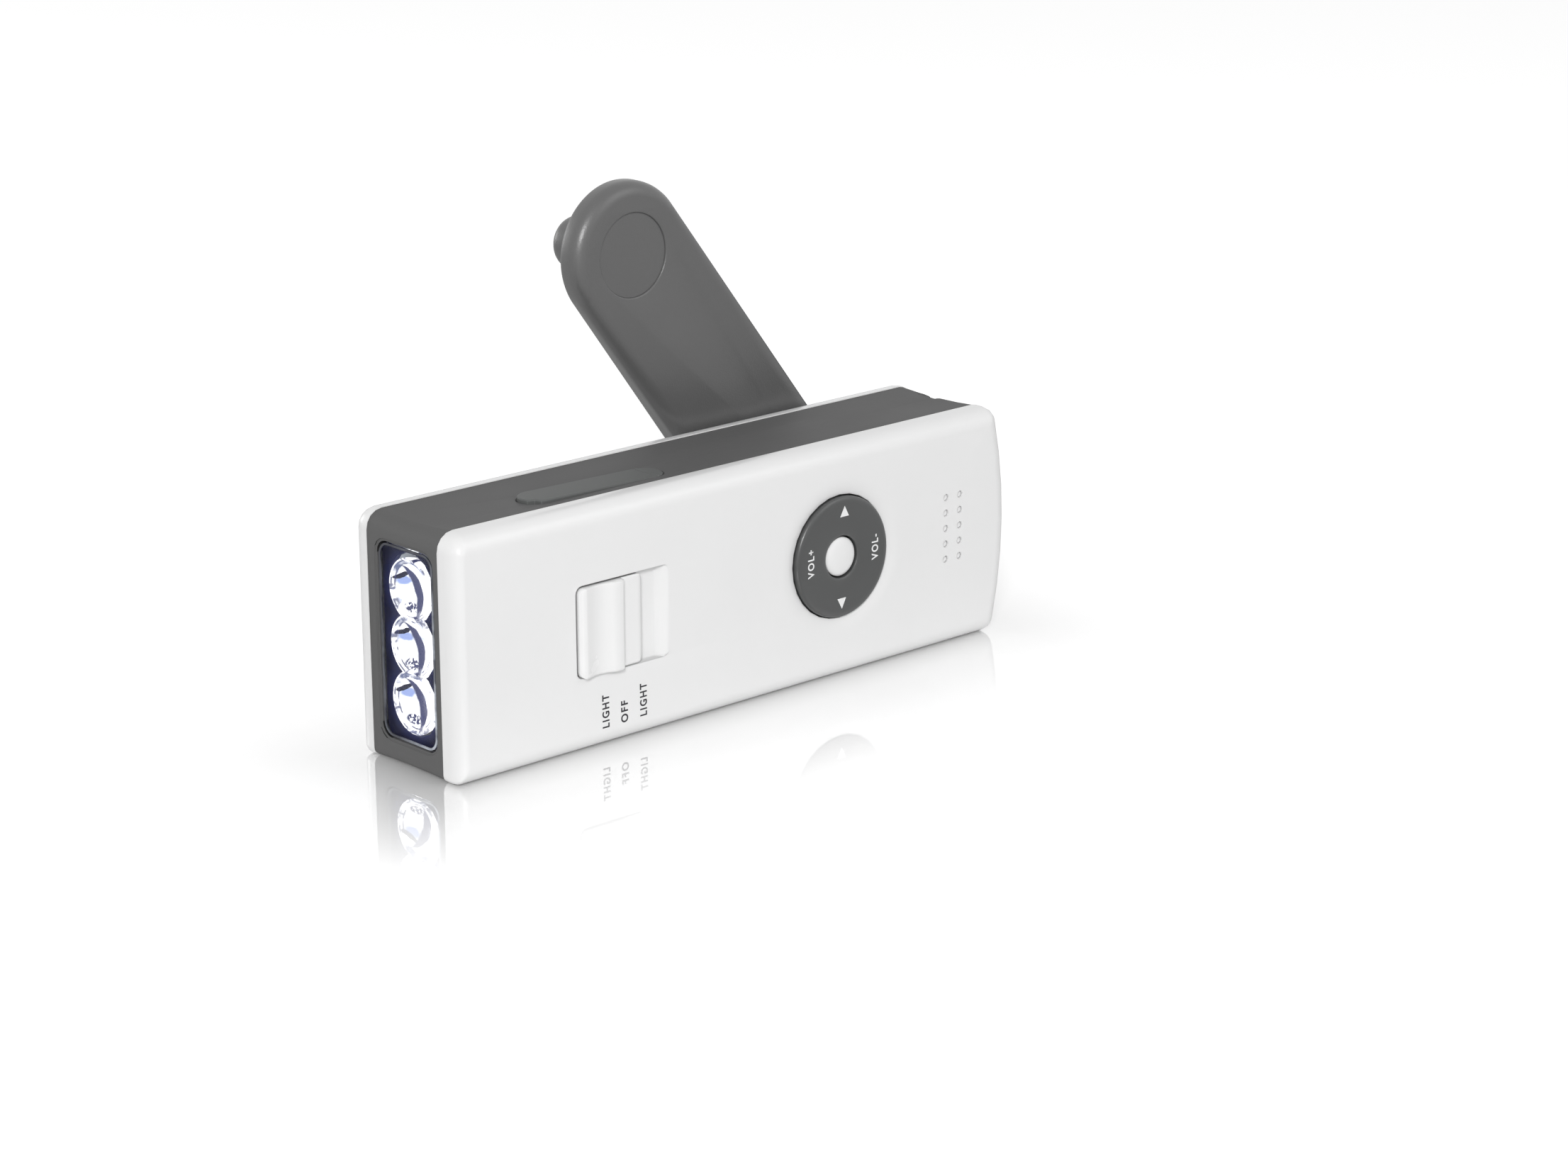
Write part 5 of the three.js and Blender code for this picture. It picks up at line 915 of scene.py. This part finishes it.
# a felt dot stands in each speaker hole
speakerDots = {
    "columns": (117.85, 121.55), "middle": 23.6, "pitch": 3.05, "rows": 5, "axis": "Y", "steps": 32,
    "profile": [(0, 0.42), (0.3, 0.4), (0.52, 0.34), (0.66, 0.42), (0.68, 0.6), (0.68, 1.75), (0, 1.75)],
}
for column, x in enumerate(speakerDots["columns"]):
    for row in range(speakerDots["rows"]):
        z = speakerDots["middle"] + (row - (speakerDots["rows"] - 1) / 2) * speakerDots["pitch"]
        dot = spunPiece(f"speakerDot{column * speakerDots['rows'] + row + 1}", {**speakerDots, "centre": (x, z)}, "casing", "white_cloth")
        dress(dot, finishes["white_plastic"])
print("speaker dots made")

# ---- printed words and arrows ----

words = {
    "height": 1.65, "skin": 0.00002, "bold": 0.027, "spacing": 1.26,
    # word, place of its middle, reading way, up way, length, ink, body
    "list": [
        ("LIGHT", (32.62, 0, 6.835), (0, 0, 1), (-1, 0, 0), 6.19, "dark", "casing"),
        ("OFF", (36.95, 0, 5.81), (0, 0, 1), (-1, 0, 0), 4.1, "dark", "casing"),
        ("LIGHT", (41.4, 0, 7.03), (0, 0, 1), (-1, 0, 0), 6.12, "dark", "casing"),
        ("VOL+", (82.14, 0, 23.89), (0, 0, 1), (-1, 0, 0), 5.5, "white", "tuning_pad"),
        ("VOL-", (98.52, 0, 24.01), (0, 0, 1), (-1, 0, 0), 4.96, "white", "tuning_pad"),
        ("RADIO", (29.15, 22.1, 0), (1, 0, 0), (0, -1, 0), 6.1, "white", "casing"),
        ("OFF", (36.85, 22.1, 0), (1, 0, 0), (0, -1, 0), 3.3, "white", "casing"),
        ("OUT", (43.45, 22.1, 0), (1, 0, 0), (0, -1, 0), 3.9, "white", "casing"),
    ],
}


# height of the surface that the ink lies on, in casing millimetres
def inkLevel(point, body):
    if body == "tuning_pad":
        radius = math.hypot(point.x - 90.3, point.z - 23.6)
        face = [(r, y) for r, y in tuningPad["profile"] if y < 0]
        for (r0, y0), (r1, y1) in zip(face, face[1:]):
            if r0 <= radius <= r1:
                return y0 + (y1 - y0) * (radius - r0) / (r1 - r0)
    return 0


def layInk(piece, body):
    for vertex in piece.data.vertices:
        point = Vector((vertex.co.x * 1000 + 66.1, vertex.co.y * 1000 + 4.2, vertex.co.z * 1000))
        if point.z < 1:
            share = (point.y - 14.95) / 9.95
            vertex.co.z = (0.15 + 0.4 * (1 - share * share)) / 1000 - words["skin"]
        else:
            vertex.co.y = (inkLevel(point, body) - 4.2) / 1000 - words["skin"]


def printWord(index, word, middle, reading, up, length, ink, body):
    clearSelection()
    bpy.ops.object.text_add(location=(0, 0, 0))
    piece = bpy.context.object
    piece.name = f"word{index + 1}"
    piece.data.body = word
    piece.data.align_x = "CENTER"
    piece.data.align_y = "CENTER"
    piece.data.offset = words["bold"]
    piece.data.space_character = words["spacing"]
    piece.data.resolution_u = 6
    bpy.ops.object.convert(target="MESH")
    corners = [vertex.co for vertex in piece.data.vertices]
    low = [min(c[i] for c in corners) for i in (0, 1)]
    high = [max(c[i] for c in corners) for i in (0, 1)]
    wide = length / 1000 / (high[0] - low[0])
    tall = words["height"] / 1000 / (high[1] - low[1])
    reading, up = Vector(reading), Vector(up)
    turn = Matrix((reading, up, reading.cross(up))).transposed().to_4x4()
    centre = Matrix.Translation((-(low[0] + high[0]) / 2, -(low[1] + high[1]) / 2, 0))
    piece.data.transform(Matrix.Translation(spot(*middle)) @ turn @ Matrix.Diagonal((wide, tall, 1, 1)) @ centre)
    layInk(piece, body)
    dress(piece, darkInk if ink == "dark" else whiteInk)
    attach(piece, body)
    return piece


for index, (word, middle, reading, up, length, ink, body) in enumerate(words["list"]):
    printWord(index, word, middle, reading, up, length, ink, body)

arrows = {"out": 8.88, "reach": 2.07, "width": 2.23}
for index, way in enumerate((1, -1)):
    clearSelection()
    bpy.ops.mesh.primitive_circle_add(vertices=3, radius=0.001, fill_type="NGON", location=(0, 0, 0))
    piece = bpy.context.object
    piece.name = f"arrow{index + 1}"
    tip, base = arrows["out"] + arrows["reach"] / 2, arrows["out"] - arrows["reach"] / 2
    corners = [(0, tip), (-arrows["width"] / 2, base), (arrows["width"] / 2, base)]
    for vertex, (x, z) in zip(piece.data.vertices, corners):
        vertex.co = spot(90.3 + way * 0.34 + x, 0, 23.6 + way * z)
    layInk(piece, "tuning_pad")
    pick(piece)
    bpy.ops.object.mode_set(mode="EDIT")
    bpy.ops.mesh.select_all(action="SELECT")
    bpy.ops.mesh.normals_make_consistent(inside=False)
    bpy.ops.object.mode_set(mode="OBJECT")
    dress(piece, whiteInk)
    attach(piece, "tuning_pad")
print("words and arrows printed")
